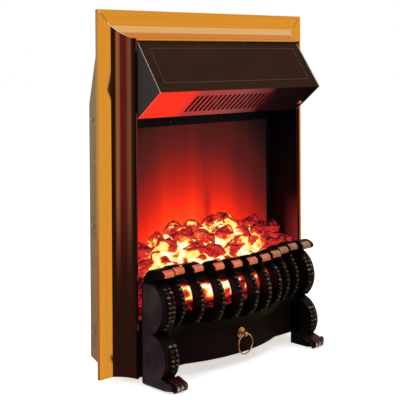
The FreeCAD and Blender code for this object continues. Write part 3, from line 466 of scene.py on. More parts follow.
def leaning_flat(tree, where, lean):
    """The surface's direction, with a flat front band leaning outwards by an angle at either side."""
    direction = add(tree, "NewGeometry").outputs["Normal"]
    flat = ranged(tree, split(tree, direction)["Y"], *FLAT_FRONT, 0.0, math.tan(lean))
    side = figured(tree, "SIGN", split(tree, where)["X"])
    outwards = add(tree, "CombineXYZ", {"X": product(tree, flat, side)}).outputs[0]
    leaning = add(tree, "VectorMath", {0: direction, 1: outwards}, operation="ADD").outputs[0]
    return add(tree, "VectorMath", {0: leaning}, operation="NORMALIZE").outputs[0]


def rolled_brass(colours, name, along, lean=0.0, lip=None):
    """Sheet brass, roll-formed, polished and lacquered: a warm mirror with faint lines drawn along it.

    A lip, given by its distance from the middle, gets a mauve-red painted reflection of the fire along its
    inner edge.
    """
    material, tree, where = new_material(name)
    line_width, line_length, cloud = 3.0, 400.0, 60.0
    stretch = [1.0, 1.0, 1.0]
    stretch[along] = line_width / line_length
    lines = cloudy(tree, stretched(tree, where, stretch), line_width, 3.0)
    # Partly painted reflection: the darker streaks stand for the room mirrored in the brass, as well as lines
    # drawn in the sheet.
    tint = graded(tree, lines, [(0.3, colours.brass_dull_and_reflection), (0.65, colours.brass)])
    # Painted reflection: the brass at the inner lip turns mauve-red, standing for the fire mirrored there.
    if lip is not None:
        across = figured(tree, "ABSOLUTE", split(tree, where)["X"])
        lip_reflection = ranged(tree, across, *(lip + width for width in LIP_REFLECTION_BAND))
        tint = mixed(tree, lip_reflection, tint, "#6B344E")
    return shaded(material, {
        "Base Color": tint,
        "Roughness": ranged(tree, cloudy(tree, where, cloud), *NOISE_SPREAD, 0.06, 0.11),
        "Normal": bumped(tree, lines, 0.002, 0.2, Normal=leaning_flat(tree, where, lean)),
        "Metallic": 1.0,
    })


class HEARTH_OT_trim(bpy.types.Operator):
    """Gives the three lengths of trim their polished brass"""

    bl_idname = "hearth.trim"
    bl_label = "Brass trim"

    def execute(self, context):
        colours = context.scene.hearth_colours
        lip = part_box("trim_right")[0].x
        dress(rolled_brass(colours, "brass_rolled_upright", 2, BAND_LEAN, lip), "trim_left", "trim_right")
        dress(rolled_brass(colours, "brass_rolled_level", 0), "trim_top")
        return {"FINISHED"}


# Casing
CASING_FINISHES = (
    # Blackened screw heads inside the fire: nearly black, with a small highlight
    ("steel_blackened_screw", "#3A3432", "#1E1A19", 0.8, dict(metallic=1.0, rough=(0.3, 0.4)),
     "liner_screws", "surround_screws"),
    # Moulded rubber: dead black with a slight bloom
    ("rubber_moulded", "#1E1D1C", "#121111", 3.0, dict(rough=(0.75, 0.9), bump=0.15), "rear_feet"),
)


def zinc_sheet(colours):
    """Hot-dipped zinc on steel sheet: olive-grey, satin, with large faint crystals."""
    material, tree, where = new_material("zinc_hot_dipped_sheet")
    crystal, smear = 14.0, 90.0
    spangle = add(tree, "TexVoronoi", {"Vector": where, "Scale": 1 / (crystal * MM)}).outputs["Color"]
    level = add(tree, "SeparateColor", {"Color": spangle}).outputs[0]
    both = figured(tree, "MULTIPLY_ADD", level, 0.3, cloudy(tree, where, smear, 3.0))
    return shaded(material, {
        "Base Color": graded(tree, both, [(0.35, colours.zinc_dark), (0.9, colours.zinc)]),
        "Roughness": ranged(tree, level, 0.0, 1.0, 0.42, 0.52),
        "Metallic": 0.85,
    })


class HEARTH_OT_casing(bpy.types.Operator):
    """Gives the casing, its feet and its screws their finishes"""

    bl_idname = "hearth.casing"
    bl_label = "Casing"

    def execute(self, context):
        colours = context.scene.hearth_colours
        dress(zinc_sheet(colours), "casing_left_side", "casing_right_side", "casing_rear_panel",
              "casing_base", "casing_top", "trim_corner_brackets", "lamp_tray", "spindle_brackets",
              "bed_ledges", "screen_ledge", "screen_retainer")
        # Zinc-plated screw heads: olive like the sheet, cold-headed, with a fine brushed sheen
        dress(grained("steel_zinc_plated_screw", colours.zinc, colours.zinc_dark, 0.8, metallic=0.5,
                      rough=(0.45, 0.6)), "rear_screws")
        dress_each(CASING_FINISHES)
        return {"FINISHED"}


# Canopy
THIN_PAINT = 0.85
CANOPY_EDGE_HIGHLIGHT = (1.3 * MM, 0.91 * MM)
LOUVRE_INSET = (50.0 * MM, 60.0 * MM)
UNDERSIDE, LEFT_WALLS = (-0.3, -0.5), (-0.5, -0.7)
FACE_PROBES = (0.5, 0.8)


def fire_below(tree, x, colours):
    """The fire's light under the canopy: bright red at the left, nearly black beyond the switches."""
    return graded_along(tree, x, [
        (-200, colours.canopy_glow), (-122, colours.canopy_glow), (-100, "#B43A38"), (0, "#964846"),
        (65, "#622C2A"), (84, "#1E0C0D"), (200, "#0E0505")])


def canopy_paint(colours):
    """Stove paint baked on sheet steel: brown-black with faint orange peel; red from the fire underneath.

    Its side edges carry a pale painted highlight, its underside is painted near black as painted shade, and
    the slots' walls that face left catch the fire too.
    """
    material, tree, where = new_material("steel_stove_painted_canopy")
    peel, smear = 2.2, 70.0
    place = split(tree, where)
    direction = split(tree, coordinates(tree, "Normal"))
    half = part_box("canopy_hood")[1].x
    side = figured(tree, "ABSOLUTE", place["X"])
    thin = [THIN_PAINT * part for part in colours.canopy]
    face = graded(tree, cloudy(tree, where, smear, 3.0), zip(NOISE_SPREAD, (thin, colours.canopy)))
    # Painted shade: the underside's paint turns near black, with the fire's red painted on it as a glow.
    below = ranged(tree, direction["Z"], *UNDERSIDE)
    # Painted highlight: a pale line along the canopy's side edges, where the fold catches the light.
    rubbed = ranged(tree, side, *(half - inset for inset in CANOPY_EDGE_HIGHLIGHT))
    leftward = ranged(tree, direction["X"], *LEFT_WALLS)
    slots = product(tree, leftward, ranged(tree, side, *(half - inset for inset in LOUVRE_INSET)))
    return shaded(material, {
        "Base Color": mixed(tree, rubbed, mixed(tree, below, face, "#080404"), "#B0A3A0"),
        "Emission Color": mixed(tree, slots, fire_below(tree, place["X"], colours), "#640A0C"),
        "Emission Strength": figured(tree, "MAXIMUM", below, slots),
        "Normal": bumped(tree, cloudy(tree, where, peel), 0.06, 0.3),
        "Specular IOR Level": 0.0,
        "Roughness": 0.55,
    })


class HEARTH_OT_canopy(bpy.types.Operator):
    """Paints the canopy and its ends and adds the raised line on its face"""

    bl_idname = "hearth.canopy"
    bl_label = "Canopy"

    def execute(self, context):
        colours = context.scene.hearth_colours
        dress(canopy_paint(colours), "canopy_hood")
        # Stove paint on the pressed ends: slate, satin, finely pitted
        dress(grained("steel_stove_painted_end", colours.slate, "#2B2626", 2.0, rough=(0.42, 0.55),
                      bump=0.08, specular=0.25), "canopy_left_end", "canopy_right_end")
        # The canopy's paint on its pressed line, browner where it is worn thin
        line = grained("steel_pressed_line", "#4A3A2A", "#3C2D22", 6.0, rough=(0.5, 0.6), specular=0.2)
        self.raised_line(context.scene.hearth_sizes, line)
        return {"FINISHED"}

    def raised_line(self, sizes, material):
        """A narrow raised frame, pressed into the canopy's sloping face."""
        low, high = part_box("canopy_hood")
        levels = [low.z + share * (high.z - low.z) for share in FACE_PROBES]
        lower, upper = (front_of("canopy_hood", 0.0, level) for level in levels)
        if lower is None or upper is None:
            raise RuntimeError("the canopy's face was not found")
        climb = (upper[0] - lower[0]).normalized()
        normal = lower[1]
        bottom_edge = lower[0] + climb * (low.y - lower[0].y) / climb.y
        top_edge = lower[0] + climb * (high.z - lower[0].z) / climb.z
        middle = (bottom_edge + top_edge + climb * (sizes.line_bottom - sizes.line_top)) / 2
        tall = (top_edge - bottom_edge).length - sizes.line_bottom - sizes.line_top
        wide = high.x - low.x - 2 * sizes.line_side
        deselect()
        bpy.ops.mesh.primitive_plane_add(size=1.0)
        frame_line = added("canopy_line")
        frame_line.matrix_world = facing(middle, normal) @ Matrix.Diagonal((wide, tall, 1.0, 1.0))
        settled(frame_line)
        editing(frame_line)
        bpy.ops.mesh.inset(thickness=sizes.line_width)
        bpy.ops.mesh.delete(type="FACE")
        bpy.ops.mesh.select_all(action="SELECT")
        bpy.ops.mesh.extrude_region_move(TRANSFORM_OT_translate={"value": normal * sizes.line_rise})
        done_editing()
        kept(frame_line, material)


# Inside of the fire
LINER_GLOW = (290.0 * MM, 195.0 * MM)


def satin_black(colours, name):
    """Satin stove paint on sheet: black with soft cloudy patches where it was sprayed thin."""
    return grained(name, colours.stove_black, "#080606", 40.0, rough=(0.38, 0.5), bump=0.02, specular=0.2)


def lit_liner(colours):
    """The same satin paint on the right liner, with the embers' red light low on its front half."""
    paint = satin_black(colours, "steel_stove_painted_lit")
    tree = paint.node_tree
    place = split(tree, coordinates(tree))
    low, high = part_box("right_liner")
    near = ranged(tree, place["Y"], (low.y + high.y) / 2, low.y)
    down = ranged(tree, place["Z"], *LINER_GLOW, blend="SMOOTHSTEP")
    return glowing(paint, "#7A1C1E", product(tree, near, down))


class HEARTH_OT_firebox(bpy.types.Operator):
    """Paints the liners, the surround and the sheet inside the fire"""

    bl_idname = "hearth.firebox"
    bl_label = "Firebox"

    def execute(self, context):
        colours = context.scene.hearth_colours
        dress(satin_black(colours, "steel_stove_painted_satin"), "left_liner", "front_apron", "heater_shelf")
        dress(lit_liner(colours), "right_liner")
        # The same paint on the surround, painted a little bluer all over as painted light from the front
        dress(grained("steel_stove_painted_front_lit", "#1B191D", "#121013", 30.0, rough=(0.45, 0.55),
                      bump=0.02, specular=0.05), "screen_surround")
        return {"FINISHED"}


# Flame screen. The line gives the flames' height along the screen, in millimetres.
FLAME_LINE = ((-198, 222), (-150, 246), (-110, 272), (-70, 302), (-40, 308), (-12, 311), (10, 298), (28, 290),
              (49, 288), (75, 284), (100, 266), (124, 250), (150, 228), (175, 195), (198, 168))
FLAME_HEIGHTS = (160.0, 320.0)
LICK_WIDTH, LICK_HEIGHT, LICK_REACH = 34.0, 200.0, 34.0
VALLEY_MIDDLE, VALLEY_WIDTH, VALLEY_DEPTH = 29.0 * MM, 13.0 * MM, 32.0 * MM
VALLEY_LEVELS = (305.0 * MM, 262.0 * MM)


def flame_top(tree, x):
    """How high the flames reach along the screen."""
    left, right = FLAME_LINE[0][0], FLAME_LINE[-1][0]
    low, high = FLAME_HEIGHTS
    line = add(tree, "FloatCurve", {"Value": ranged(tree, x, left * MM, right * MM)})
    points = line.mapping.curves[0].points
    for number, (place, height) in enumerate(FLAME_LINE):
        spot = ((place - left) / (right - left), (height - low) / (high - low))
        if number < 2:
            points[number].location = spot
        else:
            points.new(*spot)
    line.mapping.update()
    return ranged(tree, line.outputs[0], 0.0, 1.0, low * MM, high * MM)


def flame_screen(colours):
    """Frosted acrylic lit from behind by a turning foil spindle: a soft red glow with a dark valley in it."""
    material, tree, where = new_material("acrylic_frosted_flame_screen")
    place = split(tree, where)
    drawn = stretched(tree, where, (1.0, LICK_WIDTH * MM, LICK_WIDTH / LICK_HEIGHT))
    licks = cloudy(tree, drawn, LICK_WIDTH, 1.0)
    waver = ranged(tree, licks, 0.0, 1.0, -LICK_REACH / 2 * MM, LICK_REACH / 2 * MM)
    above = figured(tree, "SUBTRACT", place["Z"], flame_top(tree, place["X"]))
    aside = distance(tree, place["X"], VALLEY_MIDDLE)
    notch = ranged(tree, aside, 0.0, VALLEY_WIDTH, 1.0, 0.0, blend="SMOOTHSTEP")
    depth = ranged(tree, place["Z"], *VALLEY_LEVELS, 0.0, VALLEY_DEPTH)
    level = figured(tree, "MULTIPLY_ADD", notch, depth, figured(tree, "ADD", above, waver))
    return shaded(material, {
        "Emission Color": graded_along(tree, level, [
            (-80, colours.flame_core), (-55, "#FE4218"), (-30, colours.flame), (0, "#C82217"),
            (30, "#9F1D18"), (60, "#731B1A"), (95, colours.flame_dark), (132, "#471715"),
            (150, "#3A1415"), (172, "#2A1213"), (210, "#1A0F0E")]),
        "Emission Strength": 1.0,
        "Base Color": "#0C0404",
        "Specular IOR Level": 0.05,
        "Roughness": 0.5,
    })


class HEARTH_OT_flame_screen(bpy.types.Operator):
    """Gives the screen its flames"""

    bl_idname = "hearth.flame_screen"
    bl_label = "Flame screen"

    def execute(self, context):
        dress(flame_screen(context.scene.hearth_colours), "flame_screen")
        return {"FINISHED"}


# Embers and coals: where the lamps under the bed shine, and how its lumps are broken
LIT_LEFT = (-215.0 * MM, -125.0 * MM)
LIT_RIGHT = (70.0 * MM, 150.0 * MM)
LEAST_LIT = 0.3
WINDOW_MIDDLE = -50.0 * MM
WINDOW_SPREAD = 115.0 * MM
WINDOW_FOOT = (122.0 * MM, 134.0 * MM)
WINDOW_HEAD = (148.0 * MM, 155.0 * MM)
BED_RIM = 172.0 * MM
LUMP_SIZE = 30.0 * MM
PATCH_SIZE = 16.0 * MM
EMBER_GRIT, COAL_BREAK = 9.0 * MM, 14.0 * MM
EMBER_FACETS, COAL_FACETS = 0.1, 0.035
FACET_ANGLE = 9 * DEGREE
FACET_SPLITS = 2
FACET_MERGE = 0.4 * MM
CREST_ANGLE = 36 * DEGREE
CREST_RISE = 0.2

# Heats go from 0 to 1; of seams and crust, the second number is what chance adds to the first
CREST_HEAT = 0.3
SEAM_HEAT = (0.78, 0.3)
SEAM_GLOW = (0.2, 0.75)
COAL_GAP_HEAT = 0.85
CRUST_HEAT = (0.22, 0.2)
CRUST_LEAST = 0.45
HOT_LUMPS, HOT_LUMP_HEAT = 0.72, 0.22


def ramp(value, low, high):
    """How far a value has gone from low to high, from 0 to 1."""
    return min(1.0, max(0.0, (value - low) / (high - low)))


def lit_share(x):
    """How strongly the lamps under the bed reach a place along it."""
    return max(LEAST_LIT, ramp(x, *LIT_LEFT) * (1.0 - ramp(x, *LIT_RIGHT)))


def window_share(point):
    """How strongly the lamps shine through the bed's front, behind the bars."""
    along = math.exp(-((point.x - WINDOW_MIDDLE) / WINDOW_SPREAD) ** 2)
    return along * ramp(point.z, *WINDOW_FOOT) * (1.0 - ramp(point.z, *WINDOW_HEAD))


def lump_chance(point):
    """A number from 0 to 1 that stays the same within a lump's own space and differs from lump to lump."""
    return 0.5 + 0.5 * noise.cell(point / LUMP_SIZE)


def seam_distance(point):
    """How far a place is from the seam between two of the lumps that are moulded in the bed."""
    nearest = noise.voronoi(point / LUMP_SIZE)[0]
    return (nearest[1] - nearest[0]) / 2 * LUMP_SIZE


def patch_chance(point):
    """A number from 0 to 1 that wanders softly from patch to patch."""
    return ramp(noise.noise(point / PATCH_SIZE), -0.5, 0.5)


def crust_heat(point, lit, least=CRUST_LEAST):
    """The heat of the painted crust, which keeps a least share where the lamps don't reach."""
    return (least + (1.0 - least) * lit) * (CRUST_HEAT[0] + CRUST_HEAT[1] * patch_chance(point))


def swollen(piece, name, kind, size, height, middle, **settings):
    """Raises lumps of a size and a height on a piece, about a middle level of their pattern."""
    pattern = bpy.data.textures.new(name, kind)
    pattern.noise_scale = size
    for key, value in settings.items():
        setattr(pattern, key, value)
    modified(piece, "DISPLACE", texture=pattern, strength=height, mid_level=middle, texture_coords="LOCAL")


def faceted(piece, share):
    """Thins a piece to flat facets, then splits each facet finely so that its heat can vary across it."""
    modified(piece, "DECIMATE", ratio=share)
    modified(piece, "DECIMATE", decimate_type="DISSOLVE", angle_limit=FACET_ANGLE)
    cleaned(piece, FACET_MERGE)
    editing(piece)
    bpy.ops.mesh.quads_convert_to_tris()
    bpy.ops.mesh.subdivide(number_cuts=FACET_SPLITS)
    done_editing()
    bpy.ops.object.shade_flat()


def crests(piece):
    """The points along a piece's sharp upper edges, where the crust is thickest."""
    shape = bmesh.new()
    shape.from_mesh(piece.data)
    sharp = [edge for edge in shape.edges if edge.is_manifold and edge.calc_face_angle_signed() > CREST_ANGLE]
    found = {point.index for edge in sharp for point in edge.verts if point.normal.z > CREST_RISE}
    shape.free()
    return found


def heat_on(piece, heat):
    """Keeps a heat from 0 to 1 at each point of a piece, for its material; sharp upper edges stay dark."""
    dark = crests(piece)
    layer = piece.data.attributes.new("ember_heat", "FLOAT", "POINT")
    for point in piece.data.vertices:
        full = heat(point.co)
        layer.data[point.index].value = CREST_HEAT * full if point.index in dark else full


def glowing_resin(colours, name):
    """Glass-fibre resin, cast, lit from below and brushed with black: hot gaps, red flanks, dark crust."""
    material, tree, where = new_material(name)
    patch, grit = 9.0, 2.5
    drawn = stretched(tree, where, (0.45, 1.0, 1.0))
    patches = cloudy(tree, drawn, patch, 3.0, Distortion=0.8)
    grits = cloudy(tree, drawn, grit)
    level = add(tree, "Attribute", attribute_name="ember_heat").outputs["Fac"]
    for pattern, reach in ((patches, 0.13), (grits, 0.06)):
        level = figured(tree, "ADD", level, ranged(tree, pattern, *NOISE_SPREAD, -reach, reach))
    # Painted shading: facets facing down, left and to the front glow brighter, those facing up darker.
    facet = add(tree, "NewGeometry").outputs["True Normal"]
    facet_shading = add(tree, "VectorMath", {0: facet, 1: (-0.07, -0.07, -0.1)}, operation="DOT_PRODUCT")
    level = figured(tree, "ADD", level, facet_shading.outputs["Value"])
    return shaded(material, {
        "Emission Color": graded(tree, level, [
            (0.04, "#140305"), (0.12, "#5A0C12"), (0.24, colours.ember_red), (0.43, "#E0382C"),
            (0.51, "#EE7A3A"), (0.55, "#F6C84A"), (0.59, colours.ember_yellow), (0.76, "#FBF5A4"),
            (0.9, "#FFFEF0")]),
        "Emission Strength": 1.0,
        "Base Color": graded(tree, level, [(0.2, colours.crust), (0.6, "#5A1410")]),
        "Normal": bumped(tree, grits, 0.5, 1.0),
        "Roughness": 0.7,
        "Specular IOR Level": 0.2,
    })


class HEARTH_OT_ember_bed(bpy.types.Operator):
    """Models the broken, glowing bed from the plain one"""

    bl_idname = "hearth.ember_bed"
    bl_label = "Ember bed"

    def execute(self, context):
        sizes = context.scene.hearth_sizes
        swell = sizes.ember_swell
        bed = cad_copy("fuel_bed", "ember_bed")
        modified(bed, "REMESH", mode="VOXEL", voxel_size=sizes.ember_voxel)
        swollen(bed, "ember_lumps", "VORONOI", LUMP_SIZE, swell, 0.3, weight_1=-1.0, weight_2=1.0)
        swollen(bed, "ember_grit", "CLOUDS", EMBER_GRIT, 0.4 * swell, 0.5)
        faceted(bed, EMBER_FACETS)

        def heat(point):
            behind_bars = point.z < BED_RIM
            lit = window_share(point) if behind_bars else lit_share(point.x)
            gap = lit * (SEAM_HEAT[0] + SEAM_HEAT[1] * patch_chance(point))
            crust = crust_heat(point, lit, 0.0 if behind_bars else CRUST_LEAST)
            away = ramp(seam_distance(point), *(share * sizes.glow_reach for share in SEAM_GLOW))
            return gap + (crust - gap) * away

        heat_on(bed, heat)
        kept(bed, glowing_resin(context.scene.hearth_colours, "resin_cast_embers"))
        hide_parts("fuel_bed")
        return {"FINISHED"}


class HEARTH_OT_coals(bpy.types.Operator):
    """Breaks the plain lumps into faceted coals with dark tops and glowing flanks"""

    bl_idname = "hearth.coals"
    bl_label = "Coals"

    def execute(self, context):
        sizes = context.scene.hearth_sizes
        coals = cad_copy("coal_lumps", "coals")
        modified(coals, "REMESH", mode="VOXEL", voxel_size=sizes.coal_voxel)
        swollen(coals, "coal_breaks", "CLOUDS", COAL_BREAK, sizes.coal_swell, 0.45)
        faceted(coals, COAL_FACETS)
        bed = bpy.data.objects["ember_bed"]
        context.view_layer.update()

        def heat(point):
            ground = met(bed, (point.x, point.y, cad_box[1].z), (0, 0, -1))
            height = point.z - ground[0].z if ground else 0.0
            lit = lit_share(point.x)
            crust = crust_heat(point, lit)
            if lump_chance(point) > HOT_LUMPS:
                crust += HOT_LUMP_HEAT * lit
            gap = COAL_GAP_HEAT * lit
            return gap + (crust - gap) * ramp(height, 0.0, sizes.glow_reach)

        heat_on(coals, heat)
        kept(coals, glowing_resin(context.scene.hearth_colours, "resin_cast_coals"))
        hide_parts("coal_lumps")
        return {"FINISHED"}


# Fret: its bars, beads, curls and claws
BAR_COUNT = 9
BAR_PITCH = 35.5 * MM
CHEEKS = (("fret_left_cheek", -1), ("fret_right_cheek", 1))
WINDOW_REACH = (1.5 * WINDOW_SPREAD, 0.4 * WINDOW_SPREAD)
FLAT_SIDE = (0.6, 0.9)
BEAD_RUNS = ((161.0 * MM, 96.0 * MM), (71.0 * MM, 33.0 * MM))
BEAD_SINK, BEAD_STRETCH = 0.05, 0.92
CHEEK_BEADS = 172.6 * MM
CHEEK_ROWS = (-0.52, 0.52)
PROBES_PER_BEAD = 20
CURL_MIDDLE = 183.0 * MM
CURL_EDGE = (164.0 * MM, 170.0 * MM)
CURL_FRONT = (-0.5, 0.0, 0.4)
CURL_TOP = (0.12, 0.3, 0.6, 1.0)
TIP_GLOW = (110.0 * MM, -40.0 * MM)
TIP_ROUNDING, TOE_ROUNDING = 0.3, 0.22
EDGE_ANGLE = 50 * DEGREE
TOE_LEVEL = 8.0 * MM
TOE_CORE = Vector((0.0, 30.0 * MM, -2.0 * MM))
TOE_SWEEP = (-8, 0, 8, 16, 26, 40, 58)
TOE_REACH = 40.0 * MM
TOE_RUB_HIGHLIGHT = (14.0 * MM, 9.0 * MM)
TOE_OFFSET = -0.5
TOE_MERGE = 0.03 * MM


def cast_iron(colours, name):
    """Sand-cast iron under black paint: nearly matt, with the grain of the mould."""
    material, tree, where = new_material(name)
    grain = 2.4
    sand = cloudy(tree, where, grain, 4.0)
    return shaded(material, {
        "Base Color": graded(tree, sand, zip(NOISE_SPREAD, ("#060404", colours.iron))),
        "Roughness": ranged(tree, sand, *NOISE_SPREAD, 0.42, 0.58),
        "Normal": bumped(tree, sand, 0.3, GRAIN_DEPTH * grain),
        "Specular IOR Level": 0.05,
    })


def lit_iron(colours):
    """Cast iron on the grille, dull red on the bars' sides where the bed's front shines on them."""
    iron = cast_iron(colours, "iron_sand_cast_black")
    tree = iron.node_tree
    place = split(tree, coordinates(tree))
    direction = split(tree, coordinates(tree, "Normal"))
    flat = ranged(tree, figured(tree, "ABSOLUTE", direction["X"]), *FLAT_SIDE)
    near = ranged(tree, distance(tree, place["X"], WINDOW_MIDDLE), *WINDOW_REACH)
    over = ranged(tree, place["Z"], WINDOW_FOOT[0], WINDOW_HEAD[0])
    under = ranged(tree, place["Z"], CURL_EDGE[0], WINDOW_HEAD[1])
    return glowing(iron, "#200608", product(tree, near, over, under, flat))


def side_lit_iron(colours):
    """Cast iron on the cheeks, with cloudy slate-grey painted light on their flat outer sides under the
    curls.
    """
    iron = cast_iron(colours, "iron_sand_cast_side_lit")
    tree = iron.node_tree
    smear = 35.0
    where = coordinates(tree)
    place = split(tree, where)
    direction = split(tree, coordinates(tree, "Normal"))
    # Painted light: the flat outer sides below the curls are painted slate-grey, standing for the light that
    # falls on them from the side.
    outwards = product(tree, direction["X"], figured(tree, "SIGN", place["X"]))
    flat = ranged(tree, outwards, *FLAT_SIDE)
    below = ranged(tree, place["Z"], *reversed(CURL_EDGE))
    lit_side_colour = graded(tree, cloudy(tree, where, smear, 4.0), [(0.35, "#261C1E"), (0.65, colours.cheek_side_light)])
    black = tree.nodes["Principled BSDF"].inputs["Base Color"].links[0].from_socket
    return changed(iron, {"Base Color": mixed(tree, product(tree, flat, below), black, lit_side_colour)})


def rubbed_and_top_lit_iron(colours):
    """Black cast iron with brass paint rubbed on in patches, kept to upward faces as a painted top-light
    highlight: dull gold on black.
    """
    material, tree, where = new_material("iron_cast_rubbed_with_brass_top_lit")
    patch = 5.0
    patchy = ranged(tree, cloudy(tree, where, patch, 3.0), 0.46, 0.72)
    # Painted highlight: the rubbed brass shows only on faces turned upwards, as if lit from above.
    upper = ranged(tree, split(tree, coordinates(tree, "Normal"))["Z"], -0.05, 0.55)
    rub_and_highlight = product(tree, patchy, upper)
    return shaded(material, {
        "Base Color": mixed(tree, rub_and_highlight, colours.iron, colours.brass_rub_highlight),
        "Roughness": ranged(tree, rub_and_highlight, 0.0, 1.0, 0.5, 0.35),
        "Specular IOR Level": 0.15,
    })


def toe_paint(colours):
    """Cast iron, thinly painted red-brown at the claws, with painted shade on the ridges' black flanks and
    pale pinkish tips that are rubbed paint and painted highlight together.
    """
    material, tree, where = new_material("iron_cast_rubbed_and_lit_claw")
    patch = 4.0
    patchy = ranged(tree, cloudy(tree, where, patch), 0.35, 0.6)
    # Rubbed paint and painted highlight: pale only low on the claws and on the crests that face forward or
    # up.
    low = ranged(tree, split(tree, where)["Z"], *TOE_RUB_HIGHLIGHT)
    aside = figured(tree, "ABSOLUTE", split(tree, coordinates(tree, "Normal"))["X"])
    # Painted shade: the toes' sideways flanks are black between the toes, the crests red-brown.
    lit_crest = ranged(tree, aside, 0.75, 0.3)
    paint = mixed(tree, lit_crest, colours.iron, colours.toe)
    return shaded(material, {
        "Base Color": mixed(tree, product(tree, patchy, low, lit_crest), paint, colours.toe_rub_highlight),
        "Roughness": 0.4,
        "Specular IOR Level": 0.2,
    })


def tip_paint(colours):
    """Brass paint brushed on the curls' ends: pale and satin, pink at the left where the fire shines."""
    paint = grained("brass_painted_tip", colours.tip, "#5F4A3A", 7.0, rough=(0.3, 0.45), metallic=0.6)
    tree = paint.node_tree
    near = ranged(tree, split(tree, coordinates(tree))["X"], *TIP_GLOW, 0.1, 0.6)
    return glowing(paint, "#E04A34", near)


def bar_places():
    """The middle of each bar of the grille, from left to right."""
    return [BAR_PITCH * (number - (BAR_COUNT - 1) / 2) for number in range(BAR_COUNT)]


def cheek_middle(node):
    """The middle of a cheek, across the fret."""
    return sum(corner.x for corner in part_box(node)) / 2


def seats(node, x, top, bottom, pitch):
    """Equal steps down the front of a bar, found on the bar's own surface."""
    found = []
    level = top
    while level > bottom:
        seat = front_of(node, x, level)
        if seat and (not found or (seat[0] - found[-1][0]).length >= pitch):
            found.append(seat)
        level -= pitch / PROBES_PER_BEAD
    return found


def bent_strip(line, width, thickness, rounding, offset=0.0):
    """A strip that follows a rising line, with rounded edges; the offset is which side of it is thicker."""
    deselect()
    bpy.ops.mesh.primitive_plane_add(size=1.0)
    strip = added("strip")
    strip.scale = (width, 1.0, 1.0)
    settled(strip)
    editing(strip)
    shape = bmesh.from_edit_mesh(strip.data)
    for corner in shape.verts:
        target = line[0] if corner.co.y < 0 else line[1]
        corner.co.y, corner.co.z = target.y, target.z
    bmesh.update_edit_mesh(strip.data)
    bpy.ops.mesh.select_mode(type="EDGE")
    bpy.ops.mesh.select_all(action="DESELECT")
    shape = bmesh.from_edit_mesh(strip.data)
    last = max(shape.edges, key=lambda edge: sum(corner.co.z for corner in edge.verts))
    last.select_set(True)
    bmesh.update_edit_mesh(strip.data)
    for start, end in zip(line[1:], line[2:]):
        bpy.ops.mesh.extrude_region_move(TRANSFORM_OT_translate={"value": end - start})
    done_editing()
    modified(strip, "SOLIDIFY", thickness=thickness, offset=offset)
    modified(strip, "BEVEL", width=rounding * thickness, segments=3, limit_method="ANGLE",
             angle_limit=EDGE_ANGLE)
    bpy.ops.object.shade_smooth_by_angle(angle=EDGE_ANGLE)
    return strip


